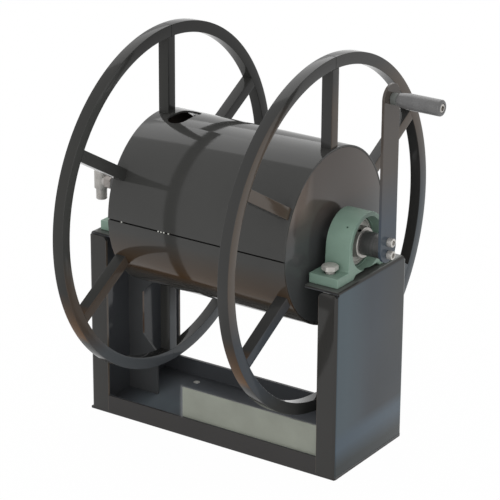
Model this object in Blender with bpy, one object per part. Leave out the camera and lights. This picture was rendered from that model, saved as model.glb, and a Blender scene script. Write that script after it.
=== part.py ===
"""Hand-cranked hose reel, in metres, +Z up, with the drum's axis along X.

The origin is on the floor, under the middle of the base. -X is the water inlet's end,
+X is the crank's end and -Y is the side that faces the person who loads the hose.
"""
import math

import bmesh
import bpy
from mathutils import Matrix, Vector

# Play between pieces that touch
GAP = 0.0003

# Drum
DRUM_RADIUS = 0.1865
DRUM_LENGTH = 0.434
DRUM_SHEET = 0.004
SEAM = 0.002
SLOT_INSET = 0.0615
SLOT_WIDTH = 0.044
SLOT_LENGTH = 0.090

# Bearing housings, their middles placed from the drum's ends
HOUSING_WIDTH = 0.068
HOUSING_CLEARANCE = 0.010
HOUSING_X = DRUM_LENGTH / 2 + HOUSING_CLEARANCE + HOUSING_WIDTH / 2
HOUSING_CENTRE = 0.0635
HOUSING_LENGTH = 0.222
FOOT_HEIGHT = 0.021
FOOT_INNER = 0.052
UNDERSIDE_RISE = 0.0085
UNDERSIDE_SLOPE = 0.012
ARCH_RADIUS = 0.065
ARCH_INWARD = 0.0245
ARCH_OUTWARD = 0.033
ARCH_FLARE = 0.0035
RIM_RADIUS = 0.056
RECESS_RADIUS = 0.0525
RECESS_FACE = 0.015
GREASE_HOLE = 0.0045
GREASE_HOLE_TILT = 46.5
GREASE_HOLE_X = 0.0148

# Frame of folded sheet, as long as the two housings need
FRAME_OVERHANG = 0.048
FRAME_LENGTH = 2 * (HOUSING_X + FRAME_OVERHANG)
FRAME_DEPTH = 0.266
TOP_HEIGHT = 0.410
SHEET = 0.006
LIP_HEIGHT = 0.042
FLANGE_WIDTH = 0.0445
FLANGE_CORNER = 0.010
SIDE_BEND = 0.006
TOP_FLANGE_WIDTH = 0.082
TOP_BEND = 0.008
CORNER_RELIEF = 0.008
TRAY_PROUD = 0.0015
ANCHOR_HOLE = 0.014
ANCHOR_X = FRAME_LENGTH / 2 - 0.114
ANCHOR_Y = FRAME_DEPTH / 2 - 0.036

# Webs inside the pedestals
WEB_CENTRE_Y = -0.003
WEB_FOOT_TOP = 0.105
WEB_HEAD_LOW = 0.278

# Blank plate behind the front lip
PLATE_CLEARANCE = 0.006
PLATE_LENGTH = 0.370
PLATE_TOP = 0.109
PLATE_THICKNESS = 0.003

# Insert bearings
BEARING_RADIUS = 0.050
BEARING_WIDTH = 0.025
OUTER_RING_BORE = 0.044
COLLAR_RADIUS = 0.0325
COLLAR_OUT = 0.029
COLLAR_IN = 0.022
BALL_RADIUS = 0.0071
BALL_COUNT = 10
GROOVE_RADIUS = 0.0075
CAGE_WIDTH = 0.018
CAGE_WALL = 0.003
SEAL_THICKNESS = 0.0016
SEAL_INSET = 0.0012
SET_SCREW = 0.008
SET_SCREW_X = 0.023
SET_SCREW_ANGLE = 25.0

# Foot bolts
BOLT_SPACING = 0.172
BOLT_THREAD = 0.016
BOLT_HOLE = 0.0175
BOLT_SHOULDER = 0.019
SHOULDER_HEIGHT = 0.006
BOLT_HEAD_FLATS = 0.030
BOLT_HEAD_HEIGHT = 0.0097
BOLT_HEAD_TURN = 34.0
NUT_FLANGE_RADIUS = 0.016
NUT_FLANGE = 0.003
NUT_FLATS = 0.024
NUT_HEIGHT = 0.0148
THREAD_END = 0.006

# Shaft
SHAFT_RADIUS = 0.025
SHAFT_LEFT = -HOUSING_X - 0.074
SHAFT_RIGHT = HOUSING_X + 0.076
SHAFT_BORE = 0.015

# Water outlet inside the drum
OUTLET_X = -0.085
PIPE_RADIUS = 0.01685
PIPE_BORE = 0.0135
PIPE_BOTTOM = 0.016
PIPE_TOP = 0.098
COUPLING_FLATS = 0.046
COUPLING_BOTTOM = 0.072
COUPLING_TOP = 0.122
SHAFT_BORE_END = OUTLET_X + 0.030

# Side rings
RING_RADIUS = 0.375
RING_INSET = 0.017
RING_X = DRUM_LENGTH / 2 - RING_INSET
BAR = 0.025
RING_SEAM = 0.001
SPOKE_COUNT = 6
SPOKE_START = 30.0

# Crank
ARM_WIDTH = 0.060
ARM_THICKNESS = 0.006
CRANK_RADIUS = 0.3135
ARM_SCREW = 0.012
ARM_SCREW_SPACING = 0.0268
ARM_SCREW_LENGTH = 0.030
CAP_HEAD_RADIUS = 0.009
CAP_HEAD_HEIGHT = 0.012
CAP_CHAMFER = 0.001
CAP_SOCKET = 0.010
CAP_SOCKET_DEPTH = 0.006

# Revolving handle
FERRULE_RADIUS = 0.0122
FERRULE_LENGTH = 0.0135
GRIP_LENGTH = 0.0985
GRIP_RADIUS = 0.0165
GRIP_NECK = 0.013
GRIP_FLARE = 0.033
GRIP_ROUND = 0.004
GRIP_PLAY = 0.0005
HANDLE_BOLT = 0.012
HANDLE_NUT_FLATS = 0.019
HANDLE_NUT_HEIGHT = 0.010
HANDLE_BOLT_END = 0.003

# Swivel inlet
SWIVEL_X = SHAFT_LEFT - 0.041
SWIVEL_RADIUS = 0.0155
SWIVEL_TOP = 0.0235
SWIVEL_CHAMFER = 0.004
SWIVEL_SHOULDER = -0.0185
OUTLET_RADIUS = 0.01125
OUTLET_END = -0.0435
WATERWAY = 0.006
BOSS_RADIUS = 0.013
BOSS_HEIGHT = 0.0008
STEM_FLATS = 0.030
STEM_HEX_LENGTH = 0.0175
STEM_THREAD_LENGTH = 0.022
JOURNAL_RADIUS = 0.0085
JOURNAL_BORE = 0.0055
JOURNAL_LENGTH = 0.0105
JOURNAL_PLAY = 0.0004
SOCKET_LENGTH = 0.0235
CLIP_INSET = 0.0035
CLIP_WIDTH = 0.0012
CLIP_DEPTH = 0.0012
SEAL_RING_INSET = 0.0075
SEAL_RING_WIDTH = 0.003
SEAL_RING_DEPTH = 0.0018

# Facets round a full turn
FINE = 80
ROUND = 36
SMALL = 18

AXIS_HEIGHT = TOP_HEIGHT + HOUSING_CENTRE
SMOOTH_ANGLE = math.radians(32)


def clear_scene():
    for item in list(bpy.data.objects):
        bpy.data.objects.remove(item, do_unlink=True)


def material(name, colour, roughness, metallic):
    """A plain surface: linear colour, roughness and metallic value."""
    made = bpy.data.materials.new(name)
    made.use_nodes = True
    shader = made.node_tree.nodes["Principled BSDF"]
    shader.inputs["Base Color"].default_value = (*colour, 1.0)
    shader.inputs["Roughness"].default_value = roughness
    shader.inputs["Metallic"].default_value = metallic
    return made


def empty(name, location, parent=None):
    made = bpy.data.objects.new(name, None)
    bpy.context.collection.objects.link(made)
    made.location = location
    made.parent = parent
    return made


def new_object(name, bm, finish, parent=None, location=(0, 0, 0)):
    """Turns a bmesh into an object with outward faces and one material."""
    bmesh.ops.remove_doubles(bm, verts=bm.verts, dist=1e-6)
    bmesh.ops.recalc_face_normals(bm, faces=bm.faces)
    mesh = bpy.data.meshes.new(name)
    bm.to_mesh(mesh)
    bm.free()
    mesh.materials.append(finish)
    mesh.shade_smooth()
    mesh.set_sharp_from_angle(angle=SMOOTH_ANGLE)
    made = bpy.data.objects.new(name, mesh)
    bpy.context.collection.objects.link(made)
    made.location = location
    made.parent = parent
    return made


def extrude_outline(points, low, high, axis):
    """Prism of a closed outline.

    The outline lies in the plane square to the axis, in (Y, Z) for X, (X, Z) for Y and
    (X, Y) for Z, and the prism runs from low to high along the axis.
    """
    place, run = {
        "X": (lambda u, v: (low, u, v), Vector((1, 0, 0))),
        "Y": (lambda u, v: (u, low, v), Vector((0, 1, 0))),
        "Z": (lambda u, v: (u, v, low), Vector((0, 0, 1))),
    }[axis]
    bm = bmesh.new()
    face = bm.faces.new([bm.verts.new(place(u, v)) for u, v in points])
    moved = bmesh.ops.extrude_face_region(bm, geom=[face])
    ends = [item for item in moved["geom"] if isinstance(item, bmesh.types.BMVert)]
    bmesh.ops.translate(bm, vec=run * (high - low), verts=ends)
    return bm


def arc(centre, radius, start, end, count):
    """Points on an arc, ends included, angles in degrees from the first axis."""
    points = []
    for step in range(count + 1):
        angle = math.radians(start + (end - start) * step / count)
        points.append((centre[0] + radius * math.cos(angle), centre[1] + radius * math.sin(angle)))
    return points


def hexagon(flats, turn=0.0):
    """Corners of a hexagon of the given width across flats, turned by an angle."""
    return arc((0.0, 0.0), flats / 2 / math.cos(math.pi / 6), turn, turn + 300.0, 5)


def clear_of(radius, facets):
    """Corner radius of a faceted hole whose flats lie at the given radius."""
    return radius / math.cos(math.pi / facets)


def turned(profile, facets, axis="X"):
    """Solid of revolution of a closed profile of (along, radius) points."""
    bm = bmesh.new()
    if axis == "X":
        corners = [bm.verts.new((along, 0.0, radius)) for along, radius in profile]
        run = (1, 0, 0)
    else:
        corners = [bm.verts.new((radius, 0.0, along)) for along, radius in profile]
        run = (0, 0, 1)
    count = len(corners)
    edges = [bm.edges.new((corners[i], corners[(i + 1) % count])) for i in range(count)]
    on_axis = [edge for edge in edges
               if all(abs(profile[corners.index(v)][1]) < 1e-9 for v in edge.verts)]
    for edge in on_axis:
        bm.edges.remove(edge)
        edges.remove(edge)
    bmesh.ops.spin(bm, geom=corners + edges, cent=(0, 0, 0), axis=run, angle=2 * math.pi,
                   steps=facets, use_merge=True)
    bmesh.ops.remove_doubles(bm, verts=bm.verts, dist=1e-6)
    return bm


def rod(radius, low, high, facets, axis="X"):
    """Plain round bar along an axis."""
    return turned([(low, 0.0), (low, radius), (high, radius), (high, 0.0)], facets, axis)


def block(low, high):
    """Box between two corners."""
    bm = bmesh.new()
    bmesh.ops.create_cube(bm, size=1.0)
    size = Vector(high) - Vector(low)
    bmesh.ops.scale(bm, vec=size, verts=bm.verts)
    bmesh.ops.translate(bm, vec=(Vector(high) + Vector(low)) / 2, verts=bm.verts)
    return bm


def moved(bm, *steps):
    """Applies matrices to a bmesh, one after another."""
    for step in steps:
        bm.transform(step)
    return bm


def shift(x=0.0, y=0.0, z=0.0):
    return Matrix.Translation((x, y, z))


def turn(degrees, axis):
    return Matrix.Rotation(math.radians(degrees), 4, axis)


def shape(target, operation, tools):
    """Joins tools to a solid, or cuts them from it, one after another."""
    bpy.context.view_layer.update()
    for index, bm in enumerate(tools):
        tool = new_object(f"{target.name}_tool_{index}", bm, target.data.materials[0])
        tool.hide_render = True
        tool.display_type = "WIRE"
        tool.matrix_world = target.matrix_world.copy()
        change = target.modifiers.new("shape", "BOOLEAN")
        change.operation = operation
        change.solver = "EXACT"
        change.object = tool
        bpy.context.view_layer.update()
        shaped = target.evaluated_get(bpy.context.evaluated_depsgraph_get())
        result = bpy.data.meshes.new_from_object(shaped)
        target.modifiers.clear()
        old = target.data
        target.data = result
        result.name = old.name
        bpy.data.meshes.remove(old)
        bpy.data.objects.remove(tool, do_unlink=True)
    target.data.shade_smooth()
    target.data.set_sharp_from_angle(angle=SMOOTH_ANGLE)
    return target


def make_tray(steel):
    """Floor sheet with a turned-up lip at the front and the rear, and four anchor holes."""
    half_length = FRAME_LENGTH / 2 + TRAY_PROUD
    half_depth = FRAME_DEPTH / 2
    lip_half = FRAME_LENGTH / 2 - FLANGE_WIDTH - GAP
    floor = block((-half_length, -half_depth, 0.0), (half_length, half_depth, SHEET))
    tray = new_object("base_tray", floor, steel)
    lips = []
    for side in (-1, 1):
        outer = side * half_depth
        inner = side * (half_depth - SHEET)
        low = (-lip_half, min(outer, inner), SHEET / 2)
        high = (lip_half, max(outer, inner), LIP_HEIGHT)
        lips.append(block(low, high))
    shape(tray, "UNION", lips)
    holes = []
    for x in (-ANCHOR_X, ANCHOR_X):
        for y in (-ANCHOR_Y, ANCHOR_Y):
            holes.append(moved(rod(ANCHOR_HOLE / 2, -SHEET, 2 * SHEET, SMALL, "Z"), shift(x, y)))
    shape(tray, "DIFFERENCE", holes)
    return tray


def make_pedestal(name, side, steel):
    """Upright of one folded sheet: outer plate, front and rear flanges and a top flange."""
    outer = FRAME_LENGTH / 2
    inner = outer - SHEET
    edge = outer - FLANGE_WIDTH
    half = FRAME_DEPTH / 2
    foot = SHEET + GAP
    top = TOP_HEIGHT - TOP_BEND
    run = arc((outer - SIDE_BEND, half - SIDE_BEND), SIDE_BEND, 0.0, 90.0, 4)
    run += [(edge, half), (edge, half - SHEET), (inner, half - SHEET)]
    plan = [(side * x, y) for x, y in run + [(x, -y) for x, y in reversed(run)]]
    pedestal = new_object(name, extrude_outline(plan, foot, top, "Z"), steel)
    # Rounds the free upper corner of each flange
    corner = arc((edge + FLANGE_CORNER, top - FLANGE_CORNER), FLANGE_CORNER, 90.0, 180.0, 6)
    corner += [(edge - SHEET, top - FLANGE_CORNER), (edge - SHEET, top + SHEET),
               (edge + FLANGE_CORNER, top + SHEET)]
    outline = [(side * x, z) for x, z in corner]
    shape(pedestal, "DIFFERENCE", [extrude_outline(outline, -half - SHEET, 0.0, "Y"),
                                   extrude_outline(outline, 0.0, half + SHEET, "Y")])
    # The top flange and its bend, seen along Y
    centre = (outer - TOP_BEND, top)
    strip = arc(centre, TOP_BEND, 0.0, 90.0, 8)
    strip += [(outer - TOP_FLANGE_WIDTH, TOP_HEIGHT), (outer - TOP_FLANGE_WIDTH, TOP_HEIGHT - SHEET)]
    strip += arc(centre, TOP_BEND - SHEET, 90.0, 0.0, 4)
    strip += [(inner, top - SHEET), (outer, top - SHEET)]
    reach = half - CORNER_RELIEF
    shape(pedestal, "UNION", [extrude_outline([(side * x, z) for x, z in strip], -reach, reach, "Y")])
    holes = []
    for y in (-BOLT_SPACING / 2, BOLT_SPACING / 2):
        holes.append(moved(rod(BOLT_HOLE / 2, top - TOP_BEND, TOP_HEIGHT + TOP_BEND, SMALL, "Z"),
                           shift(side * HOUSING_X, y)))
    shape(pedestal, "DIFFERENCE", holes)
    return pedestal


def make_web(name, side, steel):
    """C-shaped web that stands inside a pedestal, under the bearing housing."""
    outer = FRAME_LENGTH / 2
    back = outer - SHEET - GAP
    low = SHEET + GAP
    high = TOP_HEIGHT - SHEET - GAP
    wide = outer - TOP_FLANGE_WIDTH
    narrow = outer - FLANGE_WIDTH
    slope = narrow - wide
    corner = TOP_BEND - SHEET
    outline = [(back, low), (back, high - corner), (back - corner, high), (wide, high),
               (wide, WEB_HEAD_LOW), (narrow, WEB_HEAD_LOW - slope),
               (narrow, WEB_FOOT_TOP + slope), (wide, WEB_FOOT_TOP), (wide, low)]
    front = WEB_CENTRE_Y - SHEET / 2
    sheet = extrude_outline([(side * x, z) for x, z in outline], front, front + SHEET, "Y")
    return new_object(name, sheet, steel)


def make_plate(finish):
    """Blank painted plate that stands on the tray, against the front lip."""
    front = -FRAME_DEPTH / 2 + SHEET + GAP
    right = FRAME_LENGTH / 2 - SHEET - PLATE_CLEARANCE
    low = (right - PLATE_LENGTH, front, SHEET + GAP)
    high = (right, front + PLATE_THICKNESS, PLATE_TOP)
    return new_object("blank_plate", block(low, high), finish)


def make_housing(name, side, finish):
    """Cast foot-mounted bearing housing, with its bore on the shaft's axis."""
    foot_z = GAP - HOUSING_CENTRE
    half = HOUSING_LENGTH / 2
    foot_top = FOOT_HEIGHT - HOUSING_CENTRE
    rise = UNDERSIDE_RISE - HOUSING_CENTRE
    neck = FOOT_INNER - UNDERSIDE_SLOPE
    base = [(-half, foot_z), (-FOOT_INNER, foot_z), (-neck, rise), (neck, rise),
            (FOOT_INNER, foot_z), (half, foot_z), (half, foot_top), (-half, foot_top)]
    place = (side * HOUSING_X, 0.0, AXIS_HEIGHT)
    foot = extrude_outline(base, -HOUSING_WIDTH / 2, HOUSING_WIDTH / 2, "X")
    housing = new_object(name, foot, finish, location=place)
    bottom = (rise + foot_top) / 2
    arch = [(ARCH_RADIUS + ARCH_FLARE, bottom)] + arc((0.0, 0.0), ARCH_RADIUS, 0.0, 180.0, ROUND // 2)
    arch.append((-ARCH_RADIUS - ARCH_FLARE, bottom))
    low, high = sorted((-side * ARCH_INWARD, side * ARCH_OUTWARD))
    shape(housing, "UNION", [extrude_outline(arch, low, high, "X")])
    seat = clear_of(BEARING_RADIUS + GAP, ROUND)
    past = HOUSING_WIDTH
    bore = [(-past, 0.0), (-past, RIM_RADIUS), (low, RIM_RADIUS), (-RECESS_FACE, RECESS_RADIUS),
            (-RECESS_FACE, seat), (RECESS_FACE, seat), (RECESS_FACE, RECESS_RADIUS),
            (high, RIM_RADIUS), (past, RIM_RADIUS), (past, 0.0)]
    tools = [turned(bore, ROUND)]
    for end in (-1, 1):
        hole = rod(BOLT_HOLE / 2, -HOUSING_CENTRE - FOOT_HEIGHT, 0.0, SMALL, "Z")
        tools.append(moved(hole, shift(y=end * BOLT_SPACING / 2)))
    grease = rod(GREASE_HOLE / 2, BEARING_RADIUS / 2, 2 * ARCH_RADIUS, 12, "Z")
    tools.append(moved(grease, shift(x=side * GREASE_HOLE_X), turn(GREASE_HOLE_TILT, "X")))
    shape(housing, "DIFFERENCE", tools)
    return housing


def make_bearing(side, label, finishes, fixed, spinning):
    """Insert bearing: outer ring, inner ring, balls, cage, seals and collar screws."""
    steel, black = finishes
    half = BEARING_WIDTH / 2
    pitch = (COLLAR_RADIUS + OUTER_RING_BORE) / 2
    here = (side * HOUSING_X, 0.0, 0.0)
    groove = math.sqrt(GROOVE_RADIUS ** 2 - (pitch - COLLAR_RADIUS) ** 2)
    open_angle = math.degrees(math.asin(groove / GROOVE_RADIUS))
    outer = [(-half, OUTER_RING_BORE), (-half, BEARING_RADIUS),
             (half, BEARING_RADIUS), (half, OUTER_RING_BORE)]
    outer += arc((0.0, pitch), GROOVE_RADIUS, 90.0 - open_angle, 90.0 + open_angle, 4)
    new_object(f"{label}_bearing_outer_ring", turned(outer, ROUND), steel, fixed, here)
    bore = clear_of(SHAFT_RADIUS + GAP, ROUND)
    chamfer = (COLLAR_RADIUS - SHAFT_RADIUS) / 5
    low, high = sorted((-side * COLLAR_IN, side * COLLAR_OUT))
    inner = [(low, bore), (low, COLLAR_RADIUS - chamfer), (low + chamfer, COLLAR_RADIUS)]
    inner += arc((0.0, pitch), GROOVE_RADIUS, 270.0 - open_angle, 270.0 + open_angle, 4)
    inner += [(high - chamfer, COLLAR_RADIUS), (high, COLLAR_RADIUS - chamfer), (high, bore)]
    ring = new_object(f"{label}_bearing_inner_ring", turned(inner, ROUND), steel, spinning, here)
    spot = (shift(x=side * SET_SCREW_X), turn(SET_SCREW_ANGLE, "X"))
    hole = rod(clear_of(SET_SCREW / 2 + GAP, SMALL), SHAFT_RADIUS / 2, 2 * COLLAR_RADIUS, SMALL, "Z")
    shape(ring, "DIFFERENCE", [moved(hole, *reversed(spot))])
    screw = rod(SET_SCREW / 2, SHAFT_RADIUS + GAP, COLLAR_RADIUS - 2 * GAP, SMALL, "Z")
    new_object(f"{label}_collar_screw", moved(screw, *reversed(spot)), black, spinning, here)
    cage_half = CAGE_WIDTH / 2
    wall = [(-cage_half, pitch - CAGE_WALL / 2), (-cage_half, pitch + CAGE_WALL / 2),
            (cage_half, pitch + CAGE_WALL / 2), (cage_half, pitch - CAGE_WALL / 2)]
    cage = new_object(f"{label}_bearing_ball_cage", turned(wall, SMALL), steel, fixed, here)
    balls = []
    for index in range(BALL_COUNT):
        ball = bmesh.new()
        bmesh.ops.create_uvsphere(ball, u_segments=8, v_segments=6, radius=BALL_RADIUS)
        balls.append(moved(ball, shift(z=pitch), turn(360.0 * (index + 0.25) / BALL_COUNT, "X")))
    shape(cage, "UNION", balls)
    inside = clear_of(COLLAR_RADIUS + 2 * GAP, ROUND)
    for end, place in ((-side, "inner"), (side, "outer")):
        near = end * (half - SEAL_INSET - SEAL_THICKNESS)
        far = end * (half - SEAL_INSET)
        rim = OUTER_RING_BORE * math.cos(math.pi / ROUND) - GAP
        section = [(near, inside), (near, rim), (far, rim), (far, inside)]
        new_object(f"{label}_bearing_{place}_seal", turned(section, ROUND), steel, fixed, here)


def make_foot_bolts(finish):
    """Shouldered hexagon bolts through the housings' feet, with flange nuts under the sheet."""
    foot = TOP_HEIGHT + FOOT_HEIGHT + GAP
    head_low = foot + GAP + SHOULDER_HEIGHT
    flange_high = TOP_HEIGHT - SHEET - GAP
    nut_low = flange_high - NUT_FLANGE - NUT_HEIGHT
    thread = BOLT_THREAD / 2
    shoulder = BOLT_SHOULDER / 2
    hole = clear_of(thread + GAP, SMALL)
    for side, label in ((-1, "left"), (1, "right")):
        for end, place in ((-1, "front"), (1, "rear")):
            spot = shift(side * HOUSING_X, end * BOLT_SPACING / 2)
            profile = [(nut_low - THREAD_END, 0.0), (nut_low - THREAD_END, thread), (foot + GAP, thread),
                       (foot + GAP, shoulder), (head_low + GAP, shoulder), (head_low + GAP, 0.0)]
            shank = moved(turned(profile, SMALL, "Z"), spot)
            bolt = new_object(f"{label}_{place}_foot_bolt", shank, finish)
            flats = hexagon(BOLT_HEAD_FLATS, BOLT_HEAD_TURN)
            head = extrude_outline(flats, head_low, head_low + BOLT_HEAD_HEIGHT, "Z")
            shape(bolt, "UNION", [moved(head, spot)])
            body = extrude_outline(hexagon(NUT_FLATS), nut_low, flange_high - NUT_FLANGE / 2, "Z")
            nut = new_object(f"{label}_{place}_foot_nut", moved(body, spot), finish)
            flange = rod(NUT_FLANGE_RADIUS, flange_high - NUT_FLANGE, flange_high, SMALL, "Z")
            shape(nut, "UNION", [moved(flange, spot)])
            bore = rod(hole, nut_low - NUT_HEIGHT, TOP_HEIGHT, SMALL, "Z")
            shape(nut, "DIFFERENCE", [moved(bore, spot)])


def make_shaft(steel, parent):
    """Round shaft, bored from the inlet's end to carry water to the outlet pipe."""
    bore = clear_of(SHAFT_BORE, ROUND)
    profile = [(SHAFT_LEFT, bore), (SHAFT_LEFT, SHAFT_RADIUS), (SHAFT_RIGHT, SHAFT_RADIUS),
               (SHAFT_RIGHT, 0.0), (SHAFT_BORE_END, 0.0), (SHAFT_BORE_END, bore)]
    shaft = new_object("shaft", turned(profile, ROUND), steel)
    tools = [moved(rod(PIPE_RADIUS + GAP, 0.0, 2 * SHAFT_RADIUS, SMALL, "Z"), shift(x=OUTLET_X))]
    depth = ARM_SCREW_LENGTH - ARM_THICKNESS
    for end in (-1, 1):
        hole = rod(ARM_SCREW / 2 + GAP, SHAFT_RIGHT - depth - 4 * GAP, SHAFT_RIGHT + ARM_THICKNESS, SMALL)
        tools.append(moved(hole, shift(z=end * ARM_SCREW_SPACING / 2)))
    shape(shaft, "DIFFERENCE", tools)
    shaft.parent = parent
    return shaft


def make_outlet(finish, parent):
    """Pipe that rises from the shaft inside the drum, with the hexagon coupling for the hose."""
    wall = rod(PIPE_RADIUS, PIPE_BOTTOM, PIPE_TOP, SMALL, "Z")
    pipe = new_object("outlet_pipe", wall, finish, location=(OUTLET_X, 0.0, 0.0))
    coupling = extrude_outline(hexagon(COUPLING_FLATS), COUPLING_BOTTOM, COUPLING_TOP, "Z")
    shape(pipe, "UNION", [coupling])
    shape(pipe, "DIFFERENCE", [rod(PIPE_BORE, 0.0, 2 * COUPLING_TOP, SMALL, "Z")])
    pipe.parent = parent


def make_drum(steel, parent):
    """Drum of rolled sheet with an open seam and a hose slot, closed by two discs."""
    half = DRUM_LENGTH / 2
    inner = DRUM_RADIUS - DRUM_SHEET
    seam_outer = math.degrees(SEAM / 2 / DRUM_RADIUS)
    seam_inner = math.degrees(SEAM / 2 / inner)
    outline = arc((0.0, 0.0), DRUM_RADIUS, seam_outer - 180.0, 180.0 - seam_outer, FINE)
    outline += arc((0.0, 0.0), inner, 180.0 - seam_inner, seam_inner - 180.0, FINE)
    shell = new_object("drum_shell", extrude_outline(outline, -half, half, "X"), steel)
    straight = (SLOT_LENGTH - SLOT_WIDTH) / 2
    slot = arc((0.0, straight), SLOT_WIDTH / 2, 0.0, 180.0, 12)
    slot += arc((0.0, -straight), SLOT_WIDTH / 2, 180.0, 360.0, 12)
    cutter = extrude_outline(slot, DRUM_RADIUS / 2, 2 * DRUM_RADIUS, "Z")
    shape(shell, "DIFFERENCE", [moved(cutter, shift(x=SLOT_INSET - half))])
    shell.parent = parent
    disc_radius = inner * math.cos(math.pi / FINE) - GAP
    hole = clear_of(SHAFT_RADIUS + GAP, ROUND)
    for side, label in ((-1, "left"), (1, "right")):
        section = [(side * (half - DRUM_SHEET), hole), (side * (half - DRUM_SHEET), disc_radius),
                   (side * half, disc_radius), (side * half, hole)]
        new_object(f"{label}_end_disc", turned(section, FINE // 2), steel, parent)


def make_side_ring(label, side, steel, parent):
    """Side ring of two rolled half hoops that meet at a seam, on six spokes."""
    low = side * RING_X - BAR / 2
    high = low + BAR
    inner = RING_RADIUS - BAR
    seam_outer = math.degrees(RING_SEAM / 2 / RING_RADIUS)
    seam_inner = math.degrees(RING_SEAM / 2 / inner)
    for end, place in ((-1, "front"), (1, "rear")):
        outline = arc((0.0, 0.0), RING_RADIUS, seam_outer - 90.0, 90.0 - seam_outer, FINE // 2)
        outline += arc((0.0, 0.0), inner, 90.0 - seam_inner, seam_inner - 90.0, FINE // 2)
        points = [(end * y, z) for y, z in outline]
        hoop = extrude_outline(points, low, high, "X")
        new_object(f"{label}_hoop_{place}", hoop, steel, parent)
    foot = DRUM_RADIUS + GAP
    head = math.sqrt((inner * math.cos(math.pi / FINE)) ** 2 - (BAR / 2) ** 2) - GAP
    for index in range(SPOKE_COUNT):
        angle = SPOKE_START + 360.0 * index / SPOKE_COUNT
        spoke = block((low, -BAR / 2, foot), (high, BAR / 2, head))
        spoke = moved(spoke, turn(angle - 90.0, "X"))
        new_object(f"{label}_spoke_{index + 1}", spoke, steel, parent)


def cap_screw(tip, under_head, radius):
    """Socket cap screw along X: shank from its tip to the head, then the round head."""
    top = under_head + CAP_HEAD_HEIGHT
    profile = [(tip, 0.0), (tip, radius), (under_head, radius), (under_head, CAP_HEAD_RADIUS),
               (top - CAP_CHAMFER, CAP_HEAD_RADIUS), (top, CAP_HEAD_RADIUS - CAP_CHAMFER), (top, 0.0)]
    return turned(profile, SMALL)


def cap_socket(under_head):
    """Hexagon cutter for a cap screw's socket."""
    top = under_head + CAP_HEAD_HEIGHT
    return extrude_outline(hexagon(CAP_SOCKET), top - CAP_SOCKET_DEPTH, top + CAP_SOCKET_DEPTH, "X")


def make_crank(steel, bright, parent):
    """Flat crank arm screwed to the shaft's end by two cap screws."""
    back = SHAFT_RIGHT + GAP
    face = back + ARM_THICKNESS
    half = ARM_WIDTH / 2
    outline = arc((0.0, CRANK_RADIUS), half, 0.0, 180.0, SMALL)
    outline += arc((0.0, 0.0), half, 180.0, 360.0, SMALL)
    arm = new_object("crank_arm", extrude_outline(outline, back, face, "X"), steel)
    hole = rod(HANDLE_BOLT / 2 + GAP, back - SHEET, face + SHEET, SMALL)
    tools = [moved(hole, shift(z=CRANK_RADIUS))]
    for end in (-1, 1):
        hole = rod(ARM_SCREW / 2 + GAP, back - SHEET, face + SHEET, SMALL)
        tools.append(moved(hole, shift(z=end * ARM_SCREW_SPACING / 2)))
    shape(arm, "DIFFERENCE", tools)
    arm.parent = parent
    under = face + GAP
    for end, place in ((-1, "lower"), (1, "upper")):
        spot = shift(z=end * ARM_SCREW_SPACING / 2)
        body = moved(cap_screw(under - ARM_SCREW_LENGTH, under, ARM_SCREW / 2), spot)
        screw = new_object(f"{place}_arm_screw", body, bright)
        shape(screw, "DIFFERENCE", [moved(cap_socket(under), spot)])
        screw.parent = parent


def make_handle(grey, dark, bright, arm_axis, handle_axis):
    """Revolving grip on a long bolt, held behind the arm by a nut."""
    start = SHAFT_RIGHT + GAP + ARM_THICKNESS + GAP
    neck = start + FERRULE_LENGTH
    hole = clear_of(HANDLE_BOLT / 2 + GRIP_PLAY, SMALL)
    ferrule = [(start, hole), (start, FERRULE_RADIUS), (neck, FERRULE_RADIUS), (neck, hole)]
    new_object("handle_ferrule", turned(ferrule, SMALL), dark, handle_axis)
    low = neck + GAP
    high = low + GRIP_LENGTH
    seat = high - CAP_HEAD_HEIGHT - 2 * GAP
    pocket = clear_of(CAP_HEAD_RADIUS + GRIP_PLAY, ROUND)
    grip = [(low, hole), (low, GRIP_NECK)]
    for step in range(1, 7):
        share = step / 6
        swell = (GRIP_RADIUS - GRIP_NECK) * math.sin(share * math.pi / 2)
        grip.append((low + GRIP_FLARE * share, GRIP_NECK + swell))
    grip += arc((high - GRIP_ROUND, GRIP_RADIUS - GRIP_ROUND), GRIP_ROUND, 90.0, 0.0, 4)
    grip += [(high, pocket), (seat, pocket), (seat, hole)]
    new_object("handle_grip", turned(grip, SMALL), grey, handle_axis)
    under = seat + GAP
    nut_high = SHAFT_RIGHT
    nut_low = nut_high - HANDLE_NUT_HEIGHT
    bolt = new_object("handle_bolt", cap_screw(nut_low - HANDLE_BOLT_END, under, HANDLE_BOLT / 2), bright)
    shape(bolt, "DIFFERENCE", [cap_socket(under)])
    bolt.parent = arm_axis
    bolt.location = (0.0, 0.0, CRANK_RADIUS)
    body = extrude_outline(hexagon(HANDLE_NUT_FLATS), nut_low, nut_high, "X")
    nut = new_object("handle_nut", body, bright)
    bore = clear_of(HANDLE_BOLT / 2 + GAP, SMALL)
    drill = rod(bore, nut_low - HANDLE_NUT_HEIGHT, nut_high + HANDLE_NUT_HEIGHT, SMALL)
    shape(nut, "DIFFERENCE", [drill])
    nut.parent = arm_axis
    nut.location = (0.0, 0.0, CRANK_RADIUS)


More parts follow.
